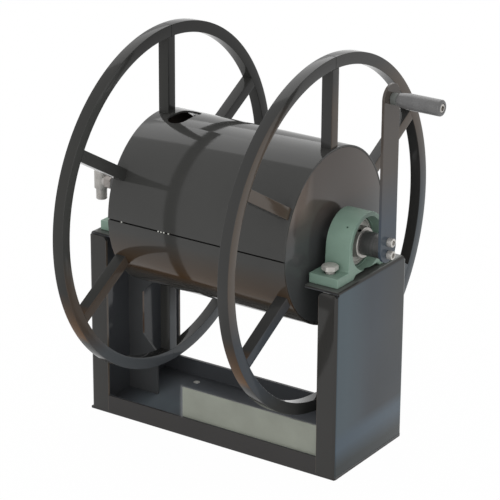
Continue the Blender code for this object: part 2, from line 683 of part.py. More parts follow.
def make_swivel(grey, bright, black, spinning, hanging):
    """Rotary inlet: a stem screwed into the shaft, and an elbow that hangs from it."""
    face = SWIVEL_X + SWIVEL_RADIUS + BOSS_HEIGHT
    hex_low = face + GAP
    hex_high = hex_low + STEM_HEX_LENGTH
    tip = face - JOURNAL_LENGTH
    clip_x = face - CLIP_INSET
    seal_x = face - SEAL_RING_INSET
    thread = SHAFT_BORE - GAP
    stem = [(SHAFT_LEFT + STEM_THREAD_LENGTH, JOURNAL_BORE), (SHAFT_LEFT + STEM_THREAD_LENGTH, thread),
            (hex_low + STEM_HEX_LENGTH / 2, thread), (hex_low + STEM_HEX_LENGTH / 2, JOURNAL_RADIUS)]
    grooves = ((clip_x, CLIP_WIDTH, CLIP_DEPTH), (seal_x, SEAL_RING_WIDTH, SEAL_RING_DEPTH))
    for place, width, depth in grooves:
        reach = width / 2 + GAP
        stem += [(place + reach, JOURNAL_RADIUS), (place + reach, JOURNAL_RADIUS - depth),
                 (place - reach, JOURNAL_RADIUS - depth), (place - reach, JOURNAL_RADIUS)]
    stem += [(tip, JOURNAL_RADIUS), (tip, JOURNAL_BORE)]
    made = new_object("swivel_stem", turned(stem, SMALL), bright)
    shape(made, "UNION", [extrude_outline(hexagon(STEM_FLATS), hex_low, hex_high, "X")])
    drill = rod(JOURNAL_BORE, tip - SHEET, SHAFT_LEFT + 2 * STEM_THREAD_LENGTH, SMALL)
    shape(made, "DIFFERENCE", [drill])
    made.parent = spinning
    bore = JOURNAL_RADIUS + JOURNAL_PLAY
    floor = clear_of(JOURNAL_RADIUS - SEAL_RING_DEPTH + GAP, SMALL)
    low = seal_x - SEAL_RING_WIDTH / 2
    high = seal_x + SEAL_RING_WIDTH / 2
    section = [(low, floor), (low, bore - GAP), (high, bore - GAP), (high, floor)]
    new_object("swivel_seal", turned(section, SMALL), black, spinning)
    floor = clear_of(JOURNAL_RADIUS - CLIP_DEPTH + JOURNAL_PLAY, SMALL)
    low = clip_x - CLIP_WIDTH / 2
    high = clip_x + CLIP_WIDTH / 2
    section = [(low, floor), (low, bore + CLIP_DEPTH), (high, bore + CLIP_DEPTH), (high, floor)]
    new_object("swivel_clip", turned(section, SMALL), bright, hanging)
    # The elbow: an upright body with its outlet pointing down, and a boss towards the shaft
    top = SWIVEL_TOP - SWIVEL_CHAMFER
    body = [(OUTLET_END, WATERWAY), (OUTLET_END, OUTLET_RADIUS), (SWIVEL_SHOULDER, OUTLET_RADIUS),
            (SWIVEL_SHOULDER, SWIVEL_RADIUS), (top, SWIVEL_RADIUS),
            (SWIVEL_TOP, SWIVEL_RADIUS - SWIVEL_CHAMFER),
            (SWIVEL_TOP, 0.0), (bore / 2, 0.0), (bore / 2, WATERWAY)]
    elbow = new_object("swivel_elbow", moved(turned(body, SMALL, "Z"), shift(x=SWIVEL_X)), grey)
    shape(elbow, "UNION", [rod(BOSS_RADIUS, SWIVEL_X + BOSS_RADIUS / 2, face, SMALL)])
    wall = clear_of(bore, SMALL)
    groove = clear_of(bore + CLIP_DEPTH + GAP, SMALL)
    socket = [(face - SOCKET_LENGTH, 0.0), (face - SOCKET_LENGTH, wall), (low - GAP, wall),
              (low - GAP, groove), (high + GAP, groove), (high + GAP, wall), (SHAFT_LEFT, wall),
              (SHAFT_LEFT, 0.0)]
    shape(elbow, "DIFFERENCE", [turned(socket, SMALL)])
    elbow.parent = hanging


def build():
    clear_scene()
    dark_steel = material("dark_steel", (0.055, 0.057, 0.060), 0.22, 0.9)
    shaft_steel = material("shaft_steel", (0.060, 0.062, 0.065), 0.25, 0.9)
    plate_paint = material("plate_paint", (0.27, 0.28, 0.23), 0.45, 0.0)
    cast_green = material("cast_green", (0.17, 0.26, 0.20), 0.55, 0.0)
    bright_steel = material("bright_steel", (0.62, 0.60, 0.57), 0.25, 1.0)
    handle_grey = material("handle_grey", (0.13, 0.13, 0.13), 0.35, 0.2)
    ferrule_grey = material("ferrule_grey", (0.20, 0.20, 0.20), 0.30, 0.8)
    cast_grey = material("cast_grey", (0.33, 0.31, 0.29), 0.40, 0.6)
    black_rubber = material("black_rubber", (0.02, 0.02, 0.02), 0.60, 0.0)

    frame_axis = empty("frame_axis", (0.0, 0.0, AXIS_HEIGHT))
    reel_axis = empty("reel_axis", (0.0, 0.0, AXIS_HEIGHT))
    handle_axis = empty("handle_axis", (0.0, 0.0, CRANK_RADIUS), reel_axis)
    swivel_axis = empty("swivel_axis", (0.0, 0.0, AXIS_HEIGHT))

    make_tray(dark_steel)
    make_plate(plate_paint)
    for side, label in ((-1, "left"), (1, "right")):
        make_pedestal(f"{label}_pedestal", side, dark_steel)
        make_web(f"{label}_web", side, dark_steel)
        make_housing(f"{label}_bearing_housing", side, cast_green)
        make_bearing(side, label, (bright_steel, black_rubber), frame_axis, reel_axis)
        make_side_ring(label, side, dark_steel, reel_axis)
    make_foot_bolts(bright_steel)
    make_shaft(shaft_steel, reel_axis)
    make_outlet(cast_grey, reel_axis)
    make_drum(dark_steel, reel_axis)
    make_crank(dark_steel, bright_steel, reel_axis)
    make_handle(handle_grey, ferrule_grey, bright_steel, reel_axis, handle_axis)
    make_swivel(cast_grey, bright_steel, black_rubber, reel_axis, swivel_axis)


build()
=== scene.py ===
from math import asin, atan2, cos, degrees, hypot, pi, radians, sin, sqrt

import bmesh
import bpy
from mathutils import Matrix, Vector


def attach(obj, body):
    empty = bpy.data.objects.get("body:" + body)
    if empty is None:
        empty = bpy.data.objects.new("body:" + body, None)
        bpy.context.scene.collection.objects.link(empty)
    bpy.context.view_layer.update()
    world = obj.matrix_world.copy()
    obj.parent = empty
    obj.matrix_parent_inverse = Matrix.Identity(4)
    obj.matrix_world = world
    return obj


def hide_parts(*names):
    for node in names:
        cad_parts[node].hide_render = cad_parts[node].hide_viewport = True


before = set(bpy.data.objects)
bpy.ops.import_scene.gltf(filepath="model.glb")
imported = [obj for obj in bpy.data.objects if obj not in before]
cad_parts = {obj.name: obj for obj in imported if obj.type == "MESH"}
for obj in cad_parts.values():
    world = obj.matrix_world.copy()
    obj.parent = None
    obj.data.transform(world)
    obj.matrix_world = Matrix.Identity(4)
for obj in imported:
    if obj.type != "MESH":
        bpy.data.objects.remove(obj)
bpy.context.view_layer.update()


# Base tray: the 6 mm steel sheet that the stand is welded on. Its front and rear edges are
# folded up into low lips, and four anchor holes are drilled through it. The whole stand is
# sprayed in a dark stoving enamel.
SHEET = 0.006
DEPTH = 0.266
TRAY_LEFT = -0.3105
TRAY_RIGHT = 0.3095
LIP_END = 0.2642
LIP_TOP = 0.042
LIP_FOLD = 0.0022
TRAY_CORNER = 0.0072
ANCHOR_HOLE = 0.007
ANCHOR_X = 0.195
ANCHOR_Y = 0.097
ENAMEL_IOR = 1.33
# A lighter grey painted into the shaded insides of the tray and the uprights: a painted fill light in
# place of their shade.
INSIDE_FILL_LIGHT = (0.085, 0.090, 0.098)
BARE_STEEL = (0.62, 0.62, 0.58)
DUST_TONE = (0.30, 0.30, 0.26)
RUBBED_TONE = (0.14, 0.135, 0.13)
CREASE = radians(32)


def node(tree, kind, sockets=None, **settings):
    """A shader node with its settings; a socket takes a value or a link."""
    made = tree.nodes.new("ShaderNode" + kind)
    for key, value in settings.items():
        setattr(made, key, value)
    for socket, value in (sockets or {}).items():
        if isinstance(value, bpy.types.NodeSocket):
            tree.links.new(value, made.inputs[socket])
        else:
            made.inputs[socket].default_value = value
    return made


def blank_finish(name):
    """An empty material: its tree, its shader and the piece's own coordinates."""
    made = bpy.data.materials.new(name)
    made.use_nodes = True
    tree = made.node_tree
    place = node(tree, "TexCoord").outputs["Object"]
    return made, tree, tree.nodes["Principled BSDF"], place


def ramp(tree, value, low, high, start=0.0, end=1.0):
    """Stretches a value from low-high onto start-end."""
    return node(tree, "MapRange", {"Value": value, "From Min": low, "From Max": high,
                                   "To Min": start, "To Max": end}).outputs["Result"]


def grain_over(tree, place, scale, detail):
    """Cloudy or fine grain over a surface, from 0 to 1."""
    return node(tree, "TexNoise", {"Vector": place, "Scale": scale, "Detail": detail}).outputs["Fac"]


def numbers(tree, operation, first, second):
    """One sum on two numbers."""
    return node(tree, "Math", {0: first, 1: second}, operation=operation).outputs[0]


def vectors(tree, operation, *values, give="Vector"):
    """One sum on vectors."""
    return node(tree, "VectorMath", dict(enumerate(values)), operation=operation).outputs[give]


def shade(colour, by):
    """A colour made paler or darker."""
    return [min(1.0, by * c) for c in colour]


def tones(tree, share, first, second):
    """Mixes two colours, each a plain triple or a link, by a share."""
    first, second = (colour if isinstance(colour, bpy.types.NodeSocket) else (*colour, 1.0)
                     for colour in (first, second))
    return node(tree, "Mix", {0: share, 6: first, 7: second}, data_type="RGBA").outputs[2]


def rubbed_edges(tree, reach, amount):
    """How near a point is to an outside edge, from 0 to amount."""
    soft = node(tree, "Bevel", {"Radius": reach}, samples=4).outputs["Normal"]
    true = node(tree, "NewGeometry").outputs["Normal"]
    alike = vectors(tree, "DOT_PRODUCT", soft, true, give="Value")
    return ramp(tree, alike, 0.985, 0.80, 0.0, amount)


def dressed(tree, shader, body, wear, gloss, grain, strength, depth):
    """Gives a finish its colour, its roughness from low to high wear, and the relief of its grain."""
    tree.links.new(body, shader.inputs["Base Color"])
    tree.links.new(ramp(tree, wear, 0.3, 0.7, *gloss), shader.inputs["Roughness"])
    skin = node(tree, "Bump", {"Height": grain, "Strength": strength, "Distance": depth})
    tree.links.new(skin.outputs["Normal"], shader.inputs["Normal"])


def stoved_enamel(name, colour, painted_light=(), gloss=(0.07, 0.12), dust=0.0, bare=None, shine=0.5,
                  dulled=None):
    """Dark enamel with tones of painted light over it, faint clouds, orange peel and rubbed edges.

    A wash is a tone of painted light, mostly a painted reflection and in shaded hollows a painted
    fill light, and the spans, along one or more axes, over which it comes in; a span on
    "aX", "aY" or "aZ" measures from the middle to both sides. Dust lies on what faces up. Bare
    metal is left where a distance falls under a radius: (middle, weights, radius, whether it is
    mirrored to both sides). The shine falls to a lower level over a wash of its own: (level, spans).
    """
    made, tree, shader, place = blank_finish(name)
    axes = dict(node(tree, "SeparateXYZ", {"Vector": place}).outputs.items())
    both = vectors(tree, "ABSOLUTE", place)
    for letter, socket in node(tree, "SeparateXYZ", {"Vector": both}).outputs.items():
        axes["a" + letter] = socket
    clouds = grain_over(tree, place, 6.5, 4.0)
    peel = grain_over(tree, place, 620.0, 2.0)
    body = tones(tree, ramp(tree, clouds, 0.42, 0.80, 0.0, 0.35), colour, shade(colour, 1.3))

    def covered(spans):
        share = None
        for axis, (low, high) in spans.items():
            part = ramp(tree, axes[axis], low, high)
            share = part if share is None else numbers(tree, "MULTIPLY", share, part)
        return share

    # Each wash lays a painted reflection or a painted fill light into the enamel's colour.
    for tone, spans in painted_light:
        body = tones(tree, covered(spans), body, tone)
    shader.inputs["Specular IOR Level"].default_value = shine
    if dulled:
        level, spans = dulled
        fall = ramp(tree, covered(spans), 0.0, 1.0, shine, level)
        tree.links.new(fall, shader.inputs["Specular IOR Level"])
    if dust:
        up = node(tree, "NewGeometry").outputs["Normal"]
        up = node(tree, "SeparateXYZ", {"Vector": up}).outputs["Z"]
        body = tones(tree, ramp(tree, up, 0.75, 1.0, 0.0, dust), body, DUST_TONE)
    body = tones(tree, rubbed_edges(tree, 0.0009, 0.45), body, RUBBED_TONE)
    if bare:
        middle, weights, radius, mirrored = bare
        off = vectors(tree, "SUBTRACT", both if mirrored else place, middle)
        off = vectors(tree, "MULTIPLY", off, weights)
        away = vectors(tree, "LENGTH", off, give="Value")
        body = tones(tree, ramp(tree, away, radius, 0.85 * radius), body, BARE_STEEL)
    shader.inputs["IOR"].default_value = ENAMEL_IOR
    dressed(tree, shader, body, clouds, gloss, peel, 0.10, 0.0001)
    return made


def arc(centre, radius, start, end, steps):
    """Points on an arc, both ends included, its angles in degrees."""
    turns = [radians(start + (end - start) * step / steps) for step in range(steps + 1)]
    return [(centre[0] + radius * cos(t), centre[1] + radius * sin(t)) for t in turns]


def prism(outline, low, high, axis):
    """A flat outline pulled from low to high: (Y, Z) along X, (X, Z) along Y, (X, Y) along Z."""
    spread = {"X": lambda u, v, w: (w, u, v), "Y": lambda u, v, w: (u, w, v),
              "Z": lambda u, v, w: (u, v, w)}[axis]
    bm = bmesh.new()
    near = [bm.verts.new(spread(u, v, low)) for u, v in outline]
    far = [bm.verts.new(spread(u, v, high)) for u, v in outline]
    bm.faces.new(near)
    bm.faces.new(list(reversed(far)))
    for i in range(len(outline)):
        j = (i + 1) % len(outline)
        bm.faces.new((near[j], near[i], far[i], far[j]))
    bmesh.ops.recalc_face_normals(bm, faces=bm.faces)
    return bm


def moved(bm, place):
    """The mesh carried to its place."""
    bmesh.ops.translate(bm, vec=place, verts=bm.verts)
    return bm


def lathe(profile, facets, axis="X", centre=(0.0, 0.0, 0.0)):
    """A closed profile of (along, radius) points turned round an axis through the centre."""
    bm = bmesh.new()
    spread = {"X": lambda a, r, c, s: (a, r * c, r * s), "Z": lambda a, r, c, s: (r * c, r * s, a)}[axis]
    rings = []
    for along, radius in profile:
        if radius < 1e-7:
            rings.append([bm.verts.new(spread(along, 0.0, 1.0, 0.0))])
            continue
        turns = [2 * pi * i / facets for i in range(facets)]
        rings.append([bm.verts.new(spread(along, radius, cos(t), sin(t))) for t in turns])
    for one, other in zip(rings, rings[1:] + rings[:1]):
        for i in range(facets):
            j = (i + 1) % facets
            face = [row[k % len(row)] for row, k in ((one, i), (one, j), (other, j), (other, i))]
            face = list(dict.fromkeys(face))
            if len(face) > 2:
                bm.faces.new(face)
    bmesh.ops.recalc_face_normals(bm, faces=bm.faces)
    return moved(bm, centre)


def drill(radius, low, high, axis="Z", centre=(0.0, 0.0, 0.0), facets=48):
    """A round cutter."""
    return lathe([(low, 0.0), (low, radius), (high, radius), (high, 0.0)], facets, axis, centre)


def solid(name, bm):
    """A plain object of a mesh."""
    mesh = bpy.data.meshes.new(name)
    bm.to_mesh(mesh)
    bm.free()
    made = bpy.data.objects.new(name, mesh)
    bpy.context.collection.objects.link(made)
    return made


def applied(piece):
    """An object's mesh with its modifiers worked in. The object itself goes."""
    final = piece.evaluated_get(bpy.context.evaluated_depsgraph_get())
    bm = bmesh.new()
    bm.from_mesh(bpy.data.meshes.new_from_object(final))
    bpy.data.objects.remove(piece, do_unlink=True)
    return bm


def worked(stock, operation, *tools):
    """The stock after each tool is cut from it, joined to it or kept in common with it."""
    for tool in tools:
        blank, cutter = solid("stock", stock), solid("tool", tool)
        change = blank.modifiers.new("work", "BOOLEAN")
        change.operation, change.object, change.solver = operation, cutter, "EXACT"
        stock = applied(blank)
        bpy.data.objects.remove(cutter, do_unlink=True)
    return stock


def fitted(name, bm, finish, slot, body, *nodes, edge=0.0, steps=3):
    """Puts a finished piece on its body, in place of the plain CAD nodes that it stands for."""
    bmesh.ops.remove_doubles(bm, verts=bm.verts, dist=1e-6)
    bmesh.ops.recalc_face_normals(bm, faces=bm.faces)
    piece = solid(name, bm)
    piece.data.materials.clear()
    piece.data.materials.append(finish)
    for face in piece.data.polygons:
        face.material_index = 0
    piece.data.shade_smooth()
    piece.data.set_sharp_from_angle(angle=CREASE)
    if edge:
        broken = piece.modifiers.new("broken_edges", "BEVEL")
        broken.width, broken.segments = edge, steps
        broken.limit_method, broken.angle_limit = "ANGLE", CREASE
        broken.harden_normals = True
    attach(piece, body)
    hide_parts(*nodes)
    return piece


half = DEPTH / 2
lip_in = half - SHEET
section = arc((-half + LIP_FOLD, LIP_FOLD), LIP_FOLD, 180.0, 270.0, 5)
section += arc((half - LIP_FOLD, LIP_FOLD), LIP_FOLD, 270.0, 360.0, 5)
section += [(half, LIP_TOP), (lip_in, LIP_TOP)]
section += arc((lip_in - LIP_FOLD, SHEET + LIP_FOLD), LIP_FOLD, 0.0, -90.0, 5)
section += arc((-lip_in + LIP_FOLD, SHEET + LIP_FOLD), LIP_FOLD, -90.0, -180.0, 5)
section += [(-lip_in, LIP_TOP), (-half, LIP_TOP)]
notch = [(-1.0, SHEET), (1.0, SHEET), (1.0, 1.0), (-1.0, 1.0)]
cuts = [prism(notch, LIP_END, 1.0, "X"), prism(notch, -1.0, -LIP_END, "X")]
cuts += [drill(ANCHOR_HOLE, -SHEET, 2 * SHEET, "Z", (x, y, 0.0))
         for x in (-ANCHOR_X, ANCHOR_X) for y in (-ANCHOR_Y, ANCHOR_Y)]
corner = arc((TRAY_RIGHT - TRAY_CORNER, half - TRAY_CORNER), TRAY_CORNER, 0.0, 90.0, 6)
corner += [(TRAY_RIGHT - TRAY_CORNER, 1.0), (1.0, 1.0), (1.0, half - TRAY_CORNER)]
cuts += [prism([(x, end * y) for x, y in corner], -SHEET, 2 * SHEET, "Z") for end in (-1, 1)]
# Painted light on the tray: its inside is painted lighter, a fill light against the shade there, and a
# bluish patch at the front left is a painted reflection.
inside = [(INSIDE_FILL_LIGHT, {"aY": (0.1300, 0.1290), "Z": (0.004, 0.005)}),
          ((0.150, 0.175, 0.195), {"X": (-0.10, -0.16), "aX": (0.29, 0.23), "Y": (0.10, -0.02),
                                   "aY": (0.1265, 0.1255)})]
# Round the anchor holes the enamel is left off as bare drilled steel, kept bright as painted light in
# the shaded holes.
anchor_rims_bare_and_painted_light = ((ANCHOR_X, ANCHOR_Y, 0.0), (1.0, 1.0, 0.0), 1.12 * ANCHOR_HOLE, True)
tray_enamel = stoved_enamel("tray_enamel", (0.031, 0.029, 0.028), inside, bare=anchor_rims_bare_and_painted_light)
fitted("tray", worked(prism(section, TRAY_LEFT, TRAY_RIGHT, "X"), "DIFFERENCE", *cuts),
       tray_enamel, "frame_paint", "frame", "base_tray", edge=0.0003)


# Pedestals: each upright is one folded sheet, an outer plate with a flange bent in along its
# front and rear and a wide flange bent over at the top that carries a bearing. Small relief
# holes at the two upper corners keep the sheet from tearing in the press.
OUTER = 0.309
FLANGE_EDGE = 0.2645
SIDE_BEND = 0.0072
FOOT = 0.0063
TOP = 0.410
TOP_BEND = 0.008
TOP_EDGE = 0.227
TOP_REACH = 0.125
FLANGE_CORNER = 0.010
RELIEF = 0.0024
RELIEF_INSET = 0.004
BOLT_Y = 0.086
BEARING_X = 0.261
SIDES = ((-1, "left"), (1, "right"))
BOLT_HOLE = 0.00875


def folded_upright(side):
    """The pedestal's sheet, folded from its outside faces and then given its thickness."""
    crown, brow = TOP - TOP_BEND, TOP - SHEET + 0.0002
    back, flat, reach = OUTER - SIDE_BEND, half - SIDE_BEND, TOP_REACH
    bm = bmesh.new()
    patches = []
    for end in (-1, 1):
        corner = arc((FLANGE_EDGE + FLANGE_CORNER, brow - FLANGE_CORNER), FLANGE_CORNER, 90.0, 180.0, 8)
        flange = [(back, FOOT), (back, crown), (back, brow)] + corner + [(FLANGE_EDGE, FOOT)]
        patches.append([(x, end * half, z) for x, z in flange])
        bend = arc((back, flat), SIDE_BEND, 90.0, 0.0, 6)
        for (x0, y0), (x1, y1) in zip(bend, bend[1:]):
            patches.append([(x0, end * y0, FOOT), (x1, end * y1, FOOT),
                            (x1, end * y1, crown), (x0, end * y0, crown)])
    patches.append([(OUTER, y, z) for y, z in ((-flat, FOOT), (flat, FOOT), (flat, crown),
                                               (reach, crown), (-reach, crown), (-flat, crown))])
    bend = arc((OUTER - TOP_BEND, crown), TOP_BEND, 0.0, 90.0, 8) + [(TOP_EDGE, TOP)]
    for (x0, z0), (x1, z1) in zip(bend, bend[1:]):
        patches.append([(x0, -reach, z0), (x0, reach, z0), (x1, reach, z1), (x1, -reach, z1)])
    for patch in patches:
        bm.faces.new([bm.verts.new((side * x, y, z)) for x, y, z in patch])
    bmesh.ops.remove_doubles(bm, verts=bm.verts, dist=1e-6)
    bmesh.ops.recalc_face_normals(bm, faces=bm.faces)
    plate = max(bm.faces, key=lambda f: f.calc_area())
    if plate.normal.x * side < 0:
        bmesh.ops.reverse_faces(bm, faces=bm.faces)
    skin = solid("skin", bm)
    wall = skin.modifiers.new("sheet", "SOLIDIFY")
    wall.thickness, wall.offset = SHEET, -1.0
    wall.use_even_offset = wall.use_quality_normals = True
    return applied(skin)


# Painted light on the uprights: the bluish and lighter bands on the outer plates are painted
# reflections, a darker band at their foot is painted shade, a brown patch near the top is a painted
# reflection, the top face is painted lighter as a highlight, and the insides get the painted fill light.
outside = (0.3080, 0.3086)
painted_pedestal_light = [((0.044, 0.056, 0.070), {"aX": outside}),
          ((0.061, 0.088, 0.106), {"aX": outside, "Y": (0.00, -0.09)}),
          ((0.047, 0.050, 0.050), {"aX": outside, "aY": (0.02, 0.13), "Y": (-0.02, 0.02)}),
          ((0.030, 0.038, 0.046), {"aX": outside, "Y": (-0.04, 0.03), "Z": (0.27, 0.16)}),
          ((0.060, 0.090, 0.120), {"aX": outside, "Z": (0.105, 0.080)}),
          ((0.026, 0.034, 0.036), {"aX": outside, "Z": (0.064, 0.025)}),
          ((0.130, 0.105, 0.083), {"aX": (0.2652, 0.2647), "Z": (0.400, 0.395)}),
          ((0.075, 0.078, 0.074), {"Z": (0.4090, 0.4096)}),
          (INSIDE_FILL_LIGHT, {"aX": (0.3055, 0.3045), "aY": (0.1280, 0.1272), "Z": (0.4062, 0.4052)})]
pedestal_enamel = stoved_enamel("pedestal_enamel", (0.035, 0.034, 0.032), painted_pedestal_light, dust=0.04)
for side, label in SIDES:
    cuts = [drill(BOLT_HOLE, TOP - 0.03, TOP + 0.03, "Z", (side * BEARING_X, y, 0.0))
            for y in (-BOLT_Y, BOLT_Y)]
    for end in (-1, 1):
        bit = drill(RELIEF, -0.02, 0.02, "X", facets=24)
        spot = (side * (OUTER - RELIEF_INSET), end * (half - RELIEF_INSET), TOP - TOP_BEND)
        bit.transform(Matrix.Translation(spot) @ Matrix.Rotation(radians(45.0 * side * end), 4, "Z"))
        cuts.append(bit)
    fitted(f"{label}_upright", worked(folded_upright(side), "DIFFERENCE", *cuts), pedestal_enamel,
           "frame_paint", "frame", f"{label}_pedestal", edge=0.0005)


# Webs: a C-shaped plate stands inside each upright and carries the load of the bearing down
# to the tray. Flame cut from the same 6 mm sheet, dressed, welded in and sprayed with it.
WEB_Y = -0.003
WEB_BACK = 0.3027
WEB_NARROW = 0.2645
WEB_FOOT_TOP = 0.105
WEB_HEAD_LOW = 0.278
WEB_HIGH = TOP - SHEET - 0.0003
WEB_SNIP = 0.002
# The web's tone is painted lighter than the stand's enamel: a painted fill light against the shade
# inside the upright.
WEB_LIGHTENED_TONE = (0.090, 0.093, 0.096)

slope = WEB_NARROW - TOP_EDGE
profile = [(WEB_BACK, FOOT), (WEB_BACK, WEB_HIGH - WEB_SNIP), (WEB_BACK - WEB_SNIP, WEB_HIGH),
           (TOP_EDGE, WEB_HIGH), (TOP_EDGE, WEB_HEAD_LOW), (WEB_NARROW, WEB_HEAD_LOW - slope),
           (WEB_NARROW, WEB_FOOT_TOP + slope), (TOP_EDGE, WEB_FOOT_TOP), (TOP_EDGE, FOOT)]
# A brown patch on the lower inner part of the web is a painted reflection; below it the web's lightened
# tone comes back.
edges = [((0.133, 0.090, 0.067), {"aX": (0.2652, 0.2647), "Z": (0.241, 0.240)}),
         (WEB_LIGHTENED_TONE, {"Z": (0.143, 0.142)})]
web_enamel = stoved_enamel("web_enamel", WEB_LIGHTENED_TONE, edges)
for side, label in SIDES:
    plate = prism([(side * x, z) for x, z in profile], WEB_Y - SHEET / 2, WEB_Y + SHEET / 2, "Y")
    fitted(f"{label}_stiffener", plate, web_enamel, "frame_paint", "frame", f"{label}_web", edge=0.0006)


# Blank plate: a thin steel plate sprayed pale grey-green stands behind the front lip, fixed
# to it on its back. Left bare, with nothing printed on it.
BLANK_X = (-0.073, 0.297)
BLANK_TOP = 0.109
BLANK_FRONT = -0.1267
BLANK_THICK = 0.003


def sprayed_paint(name, colour, gloss, grain, depth):
    """A plain sprayed paint with faint mottling and a fine tooth."""
    made, tree, shader, place = blank_finish(name)
    clouds = grain_over(tree, place, 14.0, 5.0)
    tooth = grain_over(tree, place, grain, 3.0)
    body = tones(tree, ramp(tree, clouds, 0.3, 0.7), shade(colour, 0.86), shade(colour, 1.06))
    body = tones(tree, rubbed_edges(tree, 0.001, 0.35), body, shade(colour, 1.5))
    dressed(tree, shader, body, tooth, (gloss - 0.06, gloss + 0.06), tooth, 0.5, depth)
    return made


low, high = BLANK_X
blank = prism([(low, FOOT), (high, FOOT), (high, BLANK_TOP), (low, BLANK_TOP)],
              BLANK_FRONT, BLANK_FRONT + BLANK_THICK, "Y")
fitted("bare_plate", blank, sprayed_paint("plate_grey", (0.256, 0.270, 0.227), 0.42, 700.0, 0.00008),
       "plate_paint", "frame", "blank_plate", edge=0.0004)


# Bearing housings: foot-mounted grey iron castings, rough from the sand and sprayed a light
# green, then bored for the bearing and drilled for two bolts and a small grease hole.
AXIS = 0.4735
HOUSING_HALF = 0.111
FOOT_WIDE = 0.034
FOOT_TOP = -0.0425
FOOT_LOW = -0.0632
FOOT_INNER = 0.052
FOOT_NECK = 0.040
UNDER_RISE = -0.055
ARCH = 0.065
ARCH_INWARD = 0.0245
ARCH_OUTWARD = 0.033
ARCH_FLARE = 0.0035
SEAT = 0.0503
RECESS = 0.0525
RIM = 0.056
RECESS_FACE = 0.015
FOOT_FACE = 0.4313
SUNK = 0.003
SINK = 0.0125
GREASE_HOLE = 0.00225
GREASE_X = 0.0148
GREASE_TILT = 46.5
CAST_VOXEL = 0.0011
CAST_SMOOTHING = 3


def cast_housing(side):
    """The casting, its corners softened as sand leaves them, with the machined cuts kept sharp."""
    inner, outer = sorted((-side * ARCH_INWARD, side * ARCH_OUTWARD))
    under = [(-FOOT_INNER, FOOT_LOW)]
    rise = UNDER_RISE - FOOT_LOW
    for step in range(1, 9):
        share = step / 8
        under.append((-FOOT_INNER + (FOOT_INNER - FOOT_NECK) * share,
                      FOOT_LOW + rise * (0.5 - 0.5 * cos(pi * share))))
    under += [(-y, z) for y, z in reversed(under)]
    foot = [(-HOUSING_HALF, FOOT_LOW)] + under
    foot += [(HOUSING_HALF, FOOT_LOW), (HOUSING_HALF, FOOT_TOP), (-HOUSING_HALF, FOOT_TOP)]
    low, wide = (UNDER_RISE + FOOT_TOP) / 2, ARCH + ARCH_FLARE
    arch = [(wide, low)] + arc((0.0, 0.0), ARCH, 0.0, 180.0, 60) + [(-wide, low)]
    rough = solid("rough", worked(prism(foot, -FOOT_WIDE, FOOT_WIDE, "X"), "UNION",
                                  prism(arch, inner, outer, "X")))
    mould = rough.modifiers.new("mould", "REMESH")
    mould.mode, mould.voxel_size = "VOXEL", CAST_VOXEL
    soften = rough.modifiers.new("soften", "SMOOTH")
    soften.factor, soften.iterations = 0.5, CAST_SMOOTHING
    clean = rough.modifiers.new("clean", "DECIMATE")
    clean.decimate_type, clean.angle_limit = "DISSOLVE", radians(0.7)
    past = 2 * FOOT_WIDE
    bore = [(-past, 0.0), (-past, RIM), (inner, RIM), (-RECESS_FACE, RECESS), (-RECESS_FACE, SEAT),
            (RECESS_FACE, SEAT), (RECESS_FACE, RECESS), (outer, RIM), (past, RIM), (past, 0.0)]
    cuts = [lathe(bore, 96)]
    for radius, depth, facets in ((BOLT_HOLE, -0.1, 36), (SINK, FOOT_FACE - AXIS - SUNK, 48)):
        cuts += [drill(radius, depth, 0.0, "Z", (0.0, y, 0.0), facets) for y in (-BOLT_Y, BOLT_Y)]
    grease = drill(GREASE_HOLE, 0.045, 0.1, "Z", facets=24)
    grease.transform(Matrix.Rotation(radians(GREASE_TILT), 4, "X")
                     @ Matrix.Translation((side * GREASE_X, 0.0, 0.0)))
    return moved(worked(applied(rough), "DIFFERENCE", *cuts, grease), (side * BEARING_X, 0.0, AXIS))


cast_green = sprayed_paint("cast_green", (0.196, 0.294, 0.236), 0.45, 260.0, 0.0002)
for side, label in SIDES:
    casting = fitted(f"{label}_casting", cast_housing(side), cast_green, "housing_paint", "frame",
                     f"{label}_bearing_housing")
    casting.modifiers.new("even_normals", "WEIGHTED_NORMAL").keep_sharp = True


# Insert bearings: hardened rings, ground bright, with ten balls in a pressed cage and a
# steel-faced seal at each side. The outer ring's outside is crowned to sit in the casting;
# the inner ring is longer, chamfered, and locks on the shaft with a black set screw.
RING_OUT = 0.050
RING_HALF = 0.0125
RING_BORE = 0.044
COLLAR = 0.0325
COLLAR_SPAN = (-0.022, 0.029)
COLLAR_CHAMFER = 0.0015
SHAFT = 0.025
PITCH = 0.03825
BALL = 0.0071
GROOVE = 0.0075
SCREW_X = 0.023
SCREW_TURN = 25.0
SCREW = 0.004
SCREW_KEY = 0.004
BALLS = 10
CAGE_HALF = 0.009
CAGE_WALL = 0.0015
SEAL_BACK = 0.0097
SEAL_FRONT = 0.0113
SEAL_LIP = 0.0111
SEAL_DISH = 0.0106


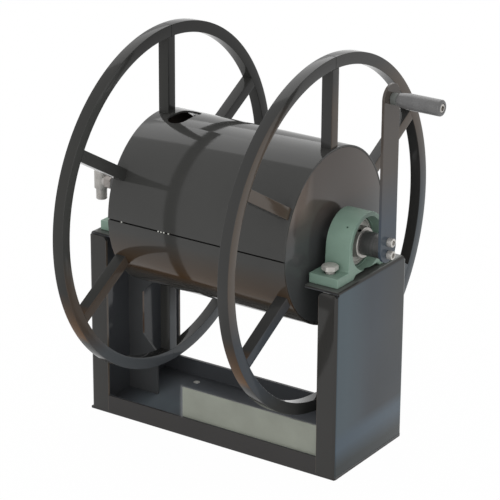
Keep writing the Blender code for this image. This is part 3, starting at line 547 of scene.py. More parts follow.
def turned_steel(name, colour, gloss, along, centre, metal=1.0):
    """Bright or blackened steel with fine tool marks that run round an axis."""
    made, tree, shader, place = blank_finish(name)
    off = vectors(tree, "SUBTRACT", place, centre)
    parts = node(tree, "SeparateXYZ", {"Vector": off}).outputs
    across = {"X": (parts["Y"], parts["Z"]), "Z": (parts["X"], parts["Y"])}[along]
    flat = node(tree, "CombineXYZ", {"X": across[0], "Y": across[1]}).outputs["Vector"]
    radius = vectors(tree, "LENGTH", flat, give="Value")
    lines = node(tree, "CombineXYZ", {"X": radius, "Y": parts[along]}).outputs["Vector"]
    grooves = grain_over(tree, lines, 1500.0, 2.0)
    stains = grain_over(tree, place, 60.0, 5.0)
    body = tones(tree, ramp(tree, stains, 0.3, 0.75), shade(colour, 0.72), colour)
    body = tones(tree, rubbed_edges(tree, 0.0006, 0.5), body, shade(colour, 1.35))
    shader.inputs["Metallic"].default_value = metal
    dressed(tree, shader, body, grooves, (gloss - 0.07, gloss + 0.09), grooves, 0.35, 0.00008)
    return made


def hexagon(flats, turn=0.0):
    """Corners of a hexagon of that width across its flats."""
    return arc((0.0, 0.0), flats / sqrt(3.0), turn, turn + 300.0, 5)


groove_half = sqrt(GROOVE ** 2 - (PITCH - COLLAR) ** 2)
open_angle = degrees(asin(groove_half / GROOVE))
for side, label in SIDES:
    here = (side * BEARING_X, 0.0, AXIS)
    ground = turned_steel(f"{label}_ground_steel", (0.50, 0.48, 0.45), 0.34, "X", here, metal=0.7)
    crown = [(x, sqrt(RING_OUT ** 2 - x ** 2)) for x in (i * RING_HALF / 6 for i in range(-6, 7))]
    ring = [(-RING_HALF, RING_BORE + 0.0004)] + crown + [(RING_HALF, RING_BORE + 0.0004)]
    ring += [(RING_HALF - 0.0004, RING_BORE)]
    ring += arc((0.0, PITCH), GROOVE, 90.0 - open_angle, 90.0 + open_angle, 10)
    ring += [(0.0004 - RING_HALF, RING_BORE)]
    fitted(f"{label}_outer_race", lathe(ring, 96, "X", here), ground, "bright_steel", "frame",
           f"{label}_bearing_outer_ring")
    low, high = sorted(side * x for x in COLLAR_SPAN)
    inner = [(low, SHAFT + 0.0006), (low, COLLAR - COLLAR_CHAMFER), (low + COLLAR_CHAMFER, COLLAR)]
    inner += arc((0.0, PITCH), GROOVE, 270.0 - open_angle, 270.0 + open_angle, 10)
    inner += [(high - COLLAR_CHAMFER, COLLAR), (high, COLLAR - COLLAR_CHAMFER), (high, SHAFT + 0.0006)]
    turn = (Matrix.Translation(here) @ Matrix.Rotation(radians(SCREW_TURN), 4, "X")
            @ Matrix.Translation((side * SCREW_X, 0.0, 0.0)))
    tap = drill(SCREW + 0.0004, 0.0125, 0.065, "Z", facets=36)
    tap.transform(turn)
    fitted(f"{label}_inner_race", worked(lathe(inner, 96, "X", here), "DIFFERENCE", tap), ground,
           "bright_steel", "reel", f"{label}_bearing_inner_ring", edge=0.0003, steps=2)
    tip, top = SHAFT + 0.0003, COLLAR - 0.0006
    grub = lathe([(tip, 0.0), (tip, SCREW - 0.0008), (SHAFT + 0.0011, SCREW),
                  (top - 0.0005, SCREW), (top, SCREW - 0.0005), (top, 0.0)], 36, "Z")
    grub = worked(grub, "DIFFERENCE", prism(hexagon(SCREW_KEY), top - 0.0035, top + 0.002, "Z"))
    grub.transform(turn)
    black = turned_steel(f"{label}_screw_black", (0.05, 0.05, 0.052), 0.35, "X", here)
    fitted(f"{label}_grub_screw", grub, black, "dark_bolt", "reel", f"{label}_collar_screw")
    inside, outside = PITCH - CAGE_WALL, PITCH + CAGE_WALL
    wall = [(-CAGE_HALF, inside), (-CAGE_HALF, outside), (CAGE_HALF, outside), (CAGE_HALF, inside)]
    balls = []
    for index in range(BALLS):
        ball = bmesh.new()
        bmesh.ops.create_uvsphere(ball, u_segments=24, v_segments=16, radius=BALL)
        ball.transform(Matrix.Rotation(radians(360.0 / BALLS * (index + 0.25)), 4, "X")
                       @ Matrix.Translation((0, 0, PITCH)))
        balls.append(ball)
    fitted(f"{label}_balls_and_cage", moved(worked(lathe(wall, 60), "UNION", *balls), here), ground,
           "bright_steel", "frame", f"{label}_bearing_ball_cage")
    for end, place in ((-side, "inner"), (side, "outer")):
        back, front, lip, dish = (end * x for x in (SEAL_BACK, SEAL_FRONT, SEAL_LIP, SEAL_DISH))
        shield = [(back, COLLAR + 0.0008), (back, RING_BORE - 0.0006), (front, RING_BORE - 0.0006),
                  (front, RING_BORE - 0.0022), (dish, RING_BORE - 0.0030), (dish, COLLAR + 0.0040),
                  (lip, COLLAR + 0.0034), (lip, COLLAR + 0.0018), (front, COLLAR + 0.0012),
                  (front, COLLAR + 0.0008)]
        fitted(f"{label}_{place}_shield", lathe(shield, 96, "X", here), ground, "bright_steel", "frame",
               f"{label}_bearing_{place}_seal")


# Foot bolts: bright hexagon bolts with a round shoulder stand through each foot, two to a
# bearing, and a flanged nut draws each one up under the top flange.
BOLT = 0.008
BOLT_PAST_NUT = 0.0055
THREAD_STEP = 0.0012
THREAD_DEPTH = 0.0006
SHOULDER = 0.0095
HEAD_FLATS = 0.030
HEAD_TURN = 34.0
HEAD_LOW = 0.4376
HEAD_TOP = 0.4473
HEAD_CORNER = 0.0180
NUT_TOP = 0.4037
NUT_LOW = 0.3859
NUT_FLATS = 0.024
NUT_CORNER = 0.0142
NUT_FLANGE = 0.016


def turned_hexagon(flats, low, high, corners, axis="X", turn=0.0):
    """A hexagon bar with its corners turned down to (along, radius) points."""
    limit = lathe([(corners[0][0], 0.0)] + corners + [(corners[-1][0], 0.0)], 72, axis)
    return worked(prism(hexagon(flats, turn), low, high, axis), "INTERSECT", limit)


for side, label in SIDES:
    for end, place in ((-1, "front"), (1, "rear")):
        spot = (side * BEARING_X, end * BOLT_Y, 0.0)
        plated = turned_steel(f"{label}_{place}_bolt_steel", (0.62, 0.60, 0.56), 0.42, "Z", spot,
                              metal=0.3)
        corners = [(HEAD_LOW, 0.0166), (HEAD_LOW + 0.0007, HEAD_CORNER),
                   (HEAD_TOP - 0.0018, HEAD_CORNER), (HEAD_TOP, 0.0146)]
        cap = turned_hexagon(HEAD_FLATS, HEAD_LOW, HEAD_TOP, corners, "Z", HEAD_TURN)
        tip, thread = NUT_LOW - BOLT_PAST_NUT, NUT_LOW - BOLT_PAST_NUT + THREAD_STEP
        shank = [(tip, 0.0), (tip, BOLT - 0.0012), (thread, BOLT)]
        for turn in range(3):
            low = thread + turn * THREAD_STEP
            shank += [(low + THREAD_STEP / 2, BOLT - THREAD_DEPTH), (low + THREAD_STEP, BOLT)]
        shank += [(FOOT_FACE - SUNK, BOLT), (FOOT_FACE - SUNK, SHOULDER), (HEAD_LOW + 0.0003, SHOULDER),
                  (HEAD_LOW + 0.0003, 0.0)]
        bolt = moved(worked(lathe(shank, 48, "Z"), "UNION", cap), spot)
        fitted(f"{label}_{place}_hex_bolt", bolt, plated, "bright_steel", "frame",
               f"{label}_{place}_foot_bolt", edge=0.0003, steps=2)
        corners = [(NUT_LOW, 0.0118), (NUT_LOW + 0.0014, NUT_CORNER), (NUT_TOP, NUT_CORNER)]
        flank = turned_hexagon(NUT_FLATS, NUT_LOW, NUT_TOP - 0.0012, corners, "Z")
        skirt = lathe([(NUT_TOP - 0.0052, 0.0), (NUT_TOP - 0.0046, 0.0122),
                       (NUT_TOP - 0.0016, NUT_FLANGE - 0.0004), (NUT_TOP - 0.0010, NUT_FLANGE),
                       (NUT_TOP, NUT_FLANGE), (NUT_TOP, 0.0)], 72, "Z")
        hole = drill(BOLT + 0.0003, 0.3, 0.5, "Z", facets=48)
        nut = moved(worked(worked(flank, "UNION", skirt), "DIFFERENCE", hole), spot)
        fitted(f"{label}_{place}_flange_nut", nut, plated, "bright_steel", "frame",
               f"{label}_{place}_foot_nut", edge=0.0002, steps=2)


# Shaft: a 50 mm ground bar, bored from the left end to carry the water and drilled at the
# right end for the arm's two screws. Oiled black steel.
SHAFT_SPAN = (-0.335, 0.337)
SHAFT_BORE = 0.015
BORE_END = -0.055
OUTLET_X = -0.085
PIPE = 0.01685
ARM_SCREW = 0.006
ARM_SCREW_Z = 0.0134
SCREW_SLACK = 0.0003
SHAFT_CHAMFER = 0.0012

axis_point = (0.0, 0.0, AXIS)
low, high = SHAFT_SPAN
bar = [(low, SHAFT_BORE + 0.0006), (low, SHAFT - SHAFT_CHAMFER), (low + SHAFT_CHAMFER, SHAFT),
       (high - SHAFT_CHAMFER, SHAFT), (high, SHAFT - SHAFT_CHAMFER), (high, 0.0),
       (BORE_END + 0.004, 0.0), (BORE_END, SHAFT_BORE), (low + 0.0006, SHAFT_BORE)]
cuts = [drill(PIPE + 0.0003, 0.0, 0.05, "Z", (OUTLET_X, 0.0, 0.0), 48)]
cuts += [drill(ARM_SCREW + SCREW_SLACK, 0.311, 0.345, "X", (0.0, 0.0, z), 36)
         for z in (-ARM_SCREW_Z, ARM_SCREW_Z)]
oiled_steel = turned_steel("oiled_steel", (0.074, 0.074, 0.073), 0.30, "X", axis_point, metal=0.3)
fitted("ground_shaft", moved(worked(lathe(bar, 96), "DIFFERENCE", *cuts), axis_point), oiled_steel,
       "dark_bolt", "reel", "shaft")


# Drum: a 4 mm sheet rolled into a tube whose edges meet in a seam at the front, tacked here
# and there, with an oblong slot cut for the hose to pass in. Enamelled like the rings.
DRUM = 0.1865
DRUM_HALF = 0.217
DRUM_WALL = 0.004
SEAM = 0.0017
TACKS = (-0.1826, -0.0895, -0.0825, -0.0755, -0.0640)
TACK = 0.0019
SLOT_X = -0.1555
SLOT_HALF = 0.045
SLOT_ROUND = 0.022


def skinned(bm, rows):
    """Joins rows of points one to the next and closes both ends."""
    for one, other in zip(rows, rows[1:]):
        for i in range(len(one)):
            j = (i + 1) % len(one)
            bm.faces.new((one[i], one[j], other[j], other[i]))
    bm.faces.new(rows[0])
    bm.faces.new(list(reversed(rows[-1])))
    bmesh.ops.recalc_face_normals(bm, faces=bm.faces)
    return bm


def rolled(section, start, end, steps):
    """A section of (x, radius) points rolled round the shaft's axis, with closed ends."""
    bm = bmesh.new()
    rows = []
    for step in range(steps + 1):
        turn = radians(start + (end - start) * step / steps)
        rows.append([bm.verts.new((x, r * cos(turn), AXIS + r * sin(turn))) for x, r in section])
    return skinned(bm, rows)


def rounded(low, high, inner, outer, radius, steps=4):
    """A rectangle of (x, radius) points with rounded corners."""
    points = []
    for x, r, start in ((high - radius, outer - radius, 0), (low + radius, outer - radius, 90),
                        (low + radius, inner + radius, 180), (high - radius, inner + radius, 270)):
        points += arc((x, r), radius, start, start + 90, steps)
    return points


opening = degrees(SEAM / DRUM)
strip = rounded(-DRUM_HALF, DRUM_HALF, DRUM - DRUM_WALL, DRUM, 0.0007, 3)
sheet = rolled(strip, opening - 180.0, 180.0 - opening, 240)
oblong = arc((SLOT_X, SLOT_HALF - SLOT_ROUND), SLOT_ROUND, 0.0, 180.0, 24)
oblong += arc((SLOT_X, SLOT_ROUND - SLOT_HALF), SLOT_ROUND, 180.0, 360.0, 24)
sheet = worked(sheet, "DIFFERENCE", prism(oblong, AXIS + 0.12, AXIS + 0.25, "Z"))
for x in TACKS:
    bead = bmesh.new()
    bmesh.ops.create_icosphere(bead, subdivisions=2, radius=TACK)
    sheet = worked(sheet, "UNION", moved(bead, (x, TACK / 2 - DRUM, AXIS)))
# Painted reflection: the drum's lower half is painted brown, and darker towards the bottom, for the
# reflection it shows there.
painted_underside_reflection = [((0.061, 0.037, 0.020), {"Z": (0.455, 0.375)}),
             ((0.052, 0.048, 0.043), {"Z": (0.372, 0.348)})]
along_seam = ((0.0, -DRUM, AXIS), (0.0, 0.4, 1.0), SEAM, False)
drum_enamel = stoved_enamel("drum_enamel", (0.046, 0.046, 0.044), painted_underside_reflection, (0.07, 0.11),
                            bare=along_seam, dulled=(0.3, {"Z": (0.45, 0.39)}))
fitted("rolled_drum", sheet, drum_enamel, "frame_paint", "reel", "drum_shell", edge=0.0004, steps=2)


# End discs: two 4 mm discs close the drum and hold it on the shaft. Cut round, holed in the
# middle and welded in flush with the drum's ends.
DISC = 0.1821

# Painted reflection: the discs' upper halves are painted warm brown, strongest at the upper front.
painted_disc_reflection = [((0.086, 0.072, 0.064), {"Z": (0.49, 0.55)}),
             ((0.165, 0.136, 0.118), {"Y": (-0.080, -0.115), "Z": (0.53, 0.57)})]
disc_enamel = stoved_enamel("disc_enamel", (0.060, 0.063, 0.063), painted_disc_reflection, (0.10, 0.16))
for side, label in SIDES:
    low, high = sorted((side * (DRUM_HALF - DRUM_WALL), side * DRUM_HALF))
    face = rounded(low, high, SHAFT + 0.0004, DISC, 0.0006, 3)
    fitted(f"{label}_closing_disc", lathe(face, 180, "X", axis_point), disc_enamel, "frame_paint",
           "reel", f"{label}_end_disc")


# Outlet pipe: a short pipe rises from the shaft inside the drum and ends in a hexagon
# coupling that the hose screws into. Cast metal, as cast on the outside.
PIPE_BORE = 0.0135
PIPE_SPAN = (0.016, 0.098)
COUPLING_FLATS = 0.046
COUPLING_SPAN = (0.072, 0.122)
COUPLING_FACE = 0.0225
COUPLING_CORNER = 0.0268
COUPLING_CHAMFER = 0.0024


def cast_metal(name, colour, gloss):
    """Grey cast metal, dull and slightly pitted."""
    made, tree, shader, place = blank_finish(name)
    grain = grain_over(tree, place, 900.0, 5.0)
    clouds = grain_over(tree, place, 40.0, 4.0)
    body = tones(tree, ramp(tree, clouds, 0.3, 0.7), shade(colour, 0.8), shade(colour, 1.12))
    body = tones(tree, rubbed_edges(tree, 0.0008, 0.5), body, shade(colour, 1.6))
    shader.inputs["Metallic"].default_value = 0.45
    dressed(tree, shader, body, grain, (gloss - 0.08, gloss + 0.08), grain, 0.4, 0.00015)
    return made


def both_ends(span, chamfer, face, corner):
    """The corners of a bar that is turned down alike at its two ends."""
    low, high = span
    return [(low, face), (low + chamfer, corner), (high - chamfer, corner), (high, face)]


corners = both_ends(COUPLING_SPAN, COUPLING_CHAMFER, COUPLING_FACE, COUPLING_CORNER)
coupling = turned_hexagon(COUPLING_FLATS, *COUPLING_SPAN, corners, "Z")
pipe = worked(drill(PIPE, *PIPE_SPAN, "Z", facets=64), "UNION", coupling)
pipe = worked(pipe, "DIFFERENCE", drill(PIPE_BORE, 0.0, 0.2, "Z", facets=64))
pipe_metal = cast_metal("pipe_metal", (0.26, 0.25, 0.235), 0.42)
fitted("hose_outlet", moved(pipe, (OUTLET_X, 0.0, AXIS)), pipe_metal, "cast_metal", "reel",
       "outlet_pipe", edge=0.0004, steps=2)


# Side rings: each ring is two half hoops rolled from 25 mm square bar that meet end to end
# at the top and the bottom, on six straight spokes welded to the drum.
RING = 0.375
RING_X = 0.200
BAR = 0.025
BAR_CORNER = 0.0012
HOOP_GAP = 0.0005
SPOKES = 6
SPOKE_TURN = 30.0
SPOKE_GAP = 0.0002
RIGHT_FACE = RING_X + BAR / 2
LEFT_FACE = -RING_X + BAR / 2

# Painted reflections on the rings: a brown patch low at the front, and on each ring's right-facing side
# darker, bluish and brownish bands.
brown = ((0.115, 0.060, 0.026), {"Y": (-0.290, -0.305), "Z": (0.37, 0.25)})
low_front = (0.10, {"Y": (-0.10, -0.20), "Z": (0.45, 0.35)})
face = (LEFT_FACE - 0.0009, LEFT_FACE - 0.0001)
left_painted_reflections = [brown, ((0.022, 0.022, 0.021), {"X": face}),
               ((0.060, 0.061, 0.058), {"X": face, "Y": (-0.10, -0.25)}),
               ((0.085, 0.066, 0.052), {"X": face, "Y": (-0.05, -0.15), "Z": (0.45, 0.38)}),
               ((0.105, 0.114, 0.122), {"X": face, "Z": (0.27, 0.20)})]
left_enamel = stoved_enamel("left_ring_enamel", (0.036, 0.036, 0.034), left_painted_reflections, (0.08, 0.13),
                            shine=0.28, dulled=low_front)
face = (RIGHT_FACE - 0.0009, RIGHT_FACE - 0.0001)
right_painted_reflections = [brown, ((0.034, 0.034, 0.033), {"X": face}),
                ((0.078, 0.060, 0.046), {"X": face, "Z": (0.80, 0.74)}),
                ((0.062, 0.070, 0.080), {"X": face, "Z": (0.46, 0.34)}),
                ((0.056, 0.057, 0.055), {"X": face, "Z": (0.24, 0.17)}),
                ((0.056, 0.068, 0.078), {"X": face, "Y": (0.15, 0.30), "Z": (0.62, 0.45)})]
right_enamel = stoved_enamel("right_ring_enamel", (0.031, 0.031, 0.030), right_painted_reflections, (0.08, 0.13),
                             dulled=low_front)
opening = degrees(HOOP_GAP / RING)
closed = 0.1 * opening
reach = BAR / 2 - BAR_CORNER
across = arc((-reach, 0.0), BAR_CORNER, 180.0, 90.0, 4) + [(-reach / 3, 0.0), (reach / 3, 0.0)]
across += arc((reach, 0.0), BAR_CORNER, 90.0, 0.0, 4)
for side, label, finish in ((-1, "left", left_enamel), (1, "right", right_enamel)):
    low, high = side * RING_X - BAR / 2, side * RING_X + BAR / 2
    bar = rounded(low, high, RING - BAR, RING, BAR_CORNER)
    for place, start, end in (("front", 90.0 + opening, 270.0 - closed),
                              ("rear", closed - 90.0, 90.0 - opening)):
        fitted(f"{label}_{place}_half_hoop", rolled(bar, start, end, 140), finish, "frame_paint",
               "reel", f"{label}_hoop_{place}", edge=0.0004, steps=2)
    for index in range(SPOKES):
        bm = bmesh.new()
        rows = []
        for v, _ in across:
            over = abs(v) - reach
            wide = BAR / 2 if over <= 1e-9 else reach + sqrt(max(0.0, BAR_CORNER ** 2 - over ** 2))
            foot = sqrt(DRUM ** 2 - v ** 2) + SPOKE_GAP
            head = sqrt((RING - BAR) ** 2 - v ** 2) - SPOKE_GAP
            rows.append([bm.verts.new((side * RING_X + x, v, z))
                         for x, z in ((-wide, foot), (wide, foot), (wide, head), (-wide, head))])
        skinned(bm, rows)
        bm.transform(Matrix.Translation(axis_point)
                     @ Matrix.Rotation(radians(SPOKE_TURN + 360.0 / SPOKES * index - 90.0), 4, "X"))
        fitted(f"{label}_bar_{index + 1}", bm, finish, "frame_paint", "reel",
               f"{label}_spoke_{index + 1}", edge=0.0003, steps=2)


# Crank arm: a 60 by 6 mm flat with round ends, clamped on the shaft's end by two socket cap
# screws. Enamelled glossier than the stand, so that it mirrors the screws.
ARM_FACE = 0.3433
ARM_BACK = 0.3373
ARM_HALF = 0.030
CRANK = 0.3135
ARM_SCREW_LONG = 0.030
CAP = 0.009
CAP_HIGH = 0.012
CAP_KEY = 0.010
CAP_KEY_DEPTH = 0.006
KNURLS = 36
KNURL_DEPTH = 0.011


def cap_screw(tip, under):
    """A socket cap screw along X, knurled round its head and sunk for the hexagon key."""
    top, shank = under + CAP_HIGH, ARM_SCREW
    bm = lathe([(tip, 0.0), (tip, shank - 0.001), (tip + 0.001, shank), (under, shank),
                (under, CAP - 0.0002), (under + 0.0002, CAP), (top - 0.0022, CAP),
                (top - 0.0010, CAP - 0.0001), (top - 0.0003, CAP - 0.0006), (top, CAP - 0.0013),
                (top, 0.0)], 4 * KNURLS)
    for vert in bm.verts:
        reach = hypot(vert.co.y, vert.co.z)
        if vert.co.x > under and reach > CAP - 0.00005:
            turn = atan2(vert.co.z, vert.co.y)
            share = 1.0 - KNURL_DEPTH * (0.5 - 0.5 * cos(KNURLS * turn))
            vert.co.y *= share
            vert.co.z *= share
    return worked(bm, "DIFFERENCE", prism(hexagon(CAP_KEY), top - CAP_KEY_DEPTH, top + 0.01, "X"))


outline = arc((0.0, AXIS + CRANK), ARM_HALF, 0.0, 180.0, 48)
outline += arc((0.0, AXIS), ARM_HALF, 180.0, 360.0, 48)
cuts = [drill(ARM_SCREW + SCREW_SLACK, 0.33, 0.35, "X", (0.0, 0.0, AXIS + z), 48)
        for z in (-ARM_SCREW_Z, ARM_SCREW_Z, CRANK)]
# Painted reflection: the arm's bluish tone and the brown over its upper part stand for what it mirrors.
painted_arm_reflection = [((0.072, 0.061, 0.053), {"Z": (0.53, 0.64)})]
arm_enamel = stoved_enamel("arm_enamel", (0.044, 0.059, 0.078), painted_arm_reflection, (0.06, 0.10))
fitted("flat_arm", worked(prism(outline, ARM_BACK, ARM_FACE, "X"), "DIFFERENCE", *cuts), arm_enamel,
       "frame_paint", "reel", "crank_arm", edge=0.0006)
for z, place in ((-ARM_SCREW_Z, "lower"), (ARM_SCREW_Z, "upper")):
    spot, under = (0.0, 0.0, AXIS + z), ARM_FACE + SCREW_SLACK
    screw_steel = turned_steel(f"{place}_screw_steel", (0.60, 0.58, 0.55), 0.34, "X", spot, metal=0.6)
    fitted(f"{place}_cap_screw", moved(cap_screw(under - ARM_SCREW_LONG, under), spot), screw_steel,
           "bright_steel", "reel", f"{place}_arm_screw")


# Handle: a turned grey plastic grip that spins on a long cap screw, with a short steel
# ferrule at the arm and a hexagon nut behind it.
FERRULE = 0.0122
FERRULE_SPAN = (0.3436, 0.3571)
GRIP_SPAN = (0.3574, 0.4559)
GRIP_NECK = 0.013
GRIP = 0.0165
GRIP_SWELL = 0.033
GRIP_ROUND = 0.004
HANDLE_HOLE = 0.0066
POCKET = 0.0095
NUT_SPAN = (0.327, 0.337)
HANDLE_NUT = 0.019
HANDLE_NUT_FACE = 0.0093
HANDLE_NUT_CORNER = 0.0113


def moulded_plastic(name, colour, gloss):
    """Satin grey plastic with a faint moulded grain and rub marks."""
    made, tree, shader, place = blank_finish(name)
    grain = grain_over(tree, place, 1300.0, 2.0)
    rub = grain_over(tree, place, 55.0, 4.0)
    body = tones(tree, ramp(tree, rub, 0.35, 0.75), colour, shade(colour, 1.25))
    dressed(tree, shader, body, rub, (gloss - 0.07, gloss + 0.07), grain, 0.3, 0.0001)
    return made


hub = (0.0, 0.0, AXIS + CRANK)
low, high = FERRULE_SPAN
sleeve = [(low, HANDLE_HOLE), (low, FERRULE - 0.0006), (low + 0.0006, FERRULE), (high - 0.0008, FERRULE),
          (high, FERRULE - 0.0008), (high, HANDLE_HOLE)]
ferrule_steel = turned_steel("ferrule_steel", (0.150, 0.160, 0.150), 0.50, "X", hub, metal=0.2)
fitted("steel_ferrule", lathe(sleeve, 72, "X", hub), ferrule_steel, "grip_plastic", "handle",
       "handle_ferrule")
low, high = GRIP_SPAN
seat = high - CAP_HIGH - 0.0006
start = low + 0.0012
form = [(low, HANDLE_HOLE), (low, GRIP_NECK - 0.0012), (low + 0.0004, GRIP_NECK - 0.0004),
        (start, GRIP_NECK)]
for step in range(1, 17):
    share = step / 16
    form.append((start + (GRIP_SWELL - 0.0012) * share,
                 GRIP_NECK + (GRIP - GRIP_NECK) * sin(share * pi / 2)))
form += arc((high - GRIP_ROUND, GRIP - GRIP_ROUND), GRIP_ROUND, 90.0, 0.0, 10)
form += [(high, POCKET + 0.0005), (high - 0.0005, POCKET), (seat, POCKET), (seat, HANDLE_HOLE)]
fitted("grey_grip", lathe(form, 96, "X", hub), moulded_plastic("grip_grey", (0.105, 0.104, 0.104), 0.26),
       "grip_plastic", "handle", "handle_grip")
bolt = moved(cap_screw(NUT_SPAN[0] - 0.003, seat + SCREW_SLACK), hub)
handle_steel = turned_steel("handle_steel", (0.58, 0.56, 0.53), 0.26, "X", hub)
fitted("handle_cap_screw", bolt, handle_steel, "bright_steel", "reel", "handle_bolt")
corners = both_ends(NUT_SPAN, 0.0012, HANDLE_NUT_FACE, HANDLE_NUT_CORNER)
nut = worked(turned_hexagon(HANDLE_NUT, *NUT_SPAN, corners), "DIFFERENCE",
             drill(ARM_SCREW + SCREW_SLACK, 0.3, 0.36, "X", facets=48))
fitted("arm_nut", moved(nut, hub), handle_steel, "bright_steel", "reel", "handle_nut", edge=0.0002,
       steps=2)


# Swivel: a plated hexagon stem screws into the shaft's left end, and a cast elbow hangs on
# its journal, held by a wire clip and sealed by a rubber ring.
SWIVEL_X = -0.376
SWIVEL_BODY = 0.0155
SWIVEL_TOP = 0.0235
SWIVEL_LOW = -0.0185
OUTLET = 0.0120
OUTLET_LOW = -0.0435
WATERWAY = 0.006
WATERWAY_END = 0.0044
BOSS = 0.013
BOSS_FACE = -0.3597
STEM_FLATS = 0.030
STEM_HEX = (-0.3594, -0.3419)
STEM_HEX_FACE = 0.0147
STEM_HEX_CORNER = 0.0176
STEM_THREAD = 0.0147
STEM_END = -0.313
JOURNAL = 0.0085
JOURNAL_BORE = 0.0055
JOURNAL_TIP = -0.3702
CLIP_X = -0.3632
SEAL_X = -0.3672
OUTLET_THREAD = 0.0018
CLIP_WIRE = 0.0006
SEAL_CORD = 0.0014


def moulded_rubber(name, colour, gloss):
    """Black rubber with a dull bloom."""
    made, tree, shader, place = blank_finish(name)
    bloom = grain_over(tree, place, 90.0, 6.0)
    body = tones(tree, ramp(tree, bloom, 0.35, 0.75), colour, [2.2 * c + 0.01 for c in colour])
    dressed(tree, shader, body, bloom, (gloss - 0.08, gloss + 0.1), bloom, 0.3, 0.0001)
    return made


seal_rubber = moulded_rubber("seal_rubber", (0.016, 0.016, 0.016), 0.55)
swivel_grey = cast_metal("swivel_grey", (0.43, 0.415, 0.395), 0.50)
body = [(OUTLET_LOW, WATERWAY), (OUTLET_LOW, OUTLET - 0.0012), (OUTLET_LOW + 0.0012, OUTLET)]
for turn in range(7):
    low = OUTLET_LOW + 0.003 + turn * OUTLET_THREAD
    body += [(low, OUTLET), (low + OUTLET_THREAD / 2, OUTLET - 0.0008), (low + OUTLET_THREAD, OUTLET)]
low, top, wide = SWIVEL_LOW, SWIVEL_TOP, SWIVEL_BODY
body += [(low - 0.001, OUTLET), (low, OUTLET + 0.001), (low, wide - 0.001),
         (low + 0.0003, wide - 0.0003), (low + 0.001, wide), (top - 0.0045, wide),
         (top - 0.0037, wide - 0.0003), (top - 0.0005, wide - 0.0036), (top, wide - 0.0046),
         (top, 0.0), (WATERWAY_END, 0.0), (WATERWAY_END, WATERWAY)]
elbow = lathe(body, 72, "Z", (SWIVEL_X, 0.0, 0.0))
elbow = worked(elbow, "UNION", drill(BOSS, SWIVEL_X + 0.0065, BOSS_FACE, "X", facets=72))
wall, groove = JOURNAL + 0.0004, JOURNAL + 0.0020
near, far = CLIP_X - 0.0009, CLIP_X + 0.0009
socket = [(BOSS_FACE - 0.0235, 0.0), (BOSS_FACE - 0.0235, wall), (near, wall), (near, groove),
          (far, groove), (far, wall), (-0.335, wall), (-0.335, 0.0)]
elbow = moved(worked(elbow, "DIFFERENCE", lathe(socket, 72)), axis_point)
fitted("inlet_elbow", elbow, swivel_grey, "cast_metal", "swivel", "swivel_elbow")

shoulder = STEM_HEX[0] + 0.008
stem = [(STEM_END, JOURNAL_BORE), (STEM_END, STEM_THREAD - 0.001), (STEM_END - 0.001, STEM_THREAD),
        (shoulder, STEM_THREAD), (shoulder, JOURNAL)]
for place, width, depth in ((CLIP_X, 0.0012, 0.0012), (SEAL_X, 0.003, 0.0018)):
    reach = width / 2 + 0.0003
    near, far = place + reach, place - reach
    stem += [(near, JOURNAL), (near, JOURNAL - depth), (far, JOURNAL - depth), (far, JOURNAL)]
stem += [(JOURNAL_TIP, JOURNAL), (JOURNAL_TIP, JOURNAL_BORE)]
corners = both_ends(STEM_HEX, 0.0016, STEM_HEX_FACE, STEM_HEX_CORNER)
flats = worked(turned_hexagon(STEM_FLATS, *STEM_HEX, corners, turn=30.0), "DIFFERENCE",
               drill(JOURNAL_BORE + 0.0005, -0.38, -0.30, "X", facets=48))
stem = moved(worked(lathe(stem, 72), "UNION", flats), axis_point)
stem_steel = turned_steel("stem_steel", (0.33, 0.305, 0.285), 0.42, "X", axis_point, metal=0.4)
fitted("hexagon_stem", stem, stem_steel, "bright_steel", "reel", "swivel_stem")
ring = arc((SEAL_X, JOURNAL - 0.0001), SEAL_CORD, 0.0, 330.0, 15)
fitted("ring_seal", lathe(ring, 60, "X", axis_point), seal_rubber, "black_rubber", "reel", "swivel_seal")
wire = arc((CLIP_X, JOURNAL + CLIP_WIRE), CLIP_WIRE, 0.0, 330.0, 11)
clip_steel = turned_steel("clip_steel", (0.55, 0.54, 0.52), 0.25, "X", axis_point)
fitted("wire_clip", lathe(wire, 60, "X", axis_point), clip_steel, "bright_steel", "swivel",
       "swivel_clip")


# Studio: a plain pale floor and a white surround, with a broad soft lamp hung high behind
# the reel and a weaker one in front of it.
FLOOR_SIZE = 14.0
SURROUND = 0.75
WHITE = (1.0, 1.0, 1.0, 1.0)


def background_share(tree):
    """1 for rays that show the background: from the camera, off gloss or through glass."""
    rays = node(tree, "LightPath").outputs
    share = numbers(tree, "MAXIMUM", rays["Is Camera Ray"], rays["Is Glossy Ray"])
    return numbers(tree, "MAXIMUM", share, rays["Is Transmission Ray"])


world = bpy.data.worlds.new("studio")
bpy.context.scene.world = world
world.use_nodes = True
tree = world.node_tree
tree.nodes.clear()
plain = node(tree, "Background", {"Color": WHITE, "Strength": SURROUND})
white = node(tree, "Background", {"Color": WHITE, "Strength": 1.0})
both = node(tree, "MixShader",
            {0: background_share(tree), 1: plain.outputs[0], 2: white.outputs[0]})
node(tree, "OutputWorld", {"Surface": both.outputs[0]})

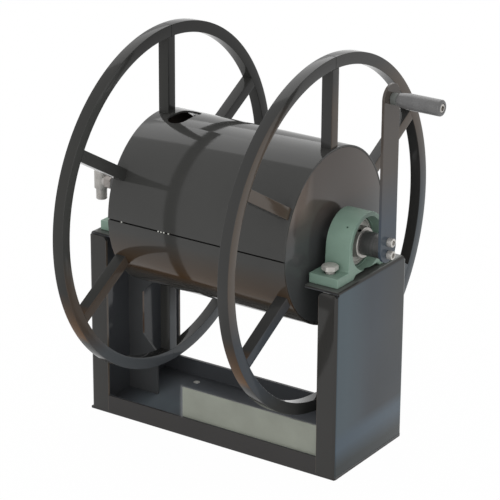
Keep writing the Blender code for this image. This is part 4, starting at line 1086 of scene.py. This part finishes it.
floor_paint = bpy.data.materials.new("floor_paint")
floor_paint.use_nodes = True
tree = floor_paint.node_tree
tree.nodes.clear()
matt = node(tree, "BsdfDiffuse", {"Color": (0.86, 0.86, 0.86, 1.0)})
glow = node(tree, "Emission", {"Color": WHITE, "Strength": 1.0})
share = numbers(tree, "MULTIPLY", background_share(tree), 0.985)
both = node(tree, "MixShader", {0: share, 1: matt.outputs[0], 2: glow.outputs[0]})
node(tree, "OutputMaterial", {"Surface": both.outputs[0]})
bm = bmesh.new()
bmesh.ops.create_grid(bm, x_segments=1, y_segments=1, size=FLOOR_SIZE / 2)
floor = solid("floor", bm)
floor.data.materials.append(floor_paint)


def soft_lamp(name, place, aim, wide, deep, power):
    """A broad soft panel that faces a point."""
    lamp = bpy.data.lights.new(name, "AREA")
    lamp.shape, lamp.size, lamp.size_y, lamp.energy = "RECTANGLE", wide, deep, power
    stand = bpy.data.objects.new(name, lamp)
    bpy.context.collection.objects.link(stand)
    stand.location = place
    stand.rotation_euler = (Vector(aim) - Vector(place)).to_track_quat("-Z", "Y").to_euler()


soft_lamp("ceiling_lamp", (-1.6, 3.3, 3.0), (-1.6, 3.3, 0.0), 2.8, 6.0, 70.0)
soft_lamp("front_lamp", (0.9, -3.4, 1.7), (0.0, 0.0, 0.42), 3.2, 2.8, 36.0)


# Camera: placed where the photograph was taken from, a long lens from the front right.
YAW, PITCH_DOWN, ROLL = (radians(a) for a in (33.95, 21.17, 0.37))
STAND = (2.62416, -3.88216, 2.20838)
FOCAL_PIXELS, PICTURE_PIXELS, SENSOR = 2412.46, 500.0, 36.0

level = cos(PITCH_DOWN)
ahead = Vector((-sin(YAW) * level, cos(YAW) * level, -sin(PITCH_DOWN)))
right = Vector((cos(YAW), sin(YAW), 0.0))
up = right.cross(ahead)
across = right * cos(ROLL) + up * sin(ROLL)
upright = up * cos(ROLL) - right * sin(ROLL)
lens = bpy.data.cameras.new("camera")
lens.sensor_width, lens.lens = SENSOR, FOCAL_PIXELS * SENSOR / PICTURE_PIXELS
lens.clip_end = 50.0
camera = bpy.data.objects.new("camera", lens)
bpy.context.collection.objects.link(camera)
turned = Matrix((across, upright, -ahead)).transposed().to_4x4()
camera.matrix_world = Matrix.Translation(STAND) @ turned
bpy.context.scene.camera = camera
bpy.context.scene.view_settings.view_transform = "Standard"
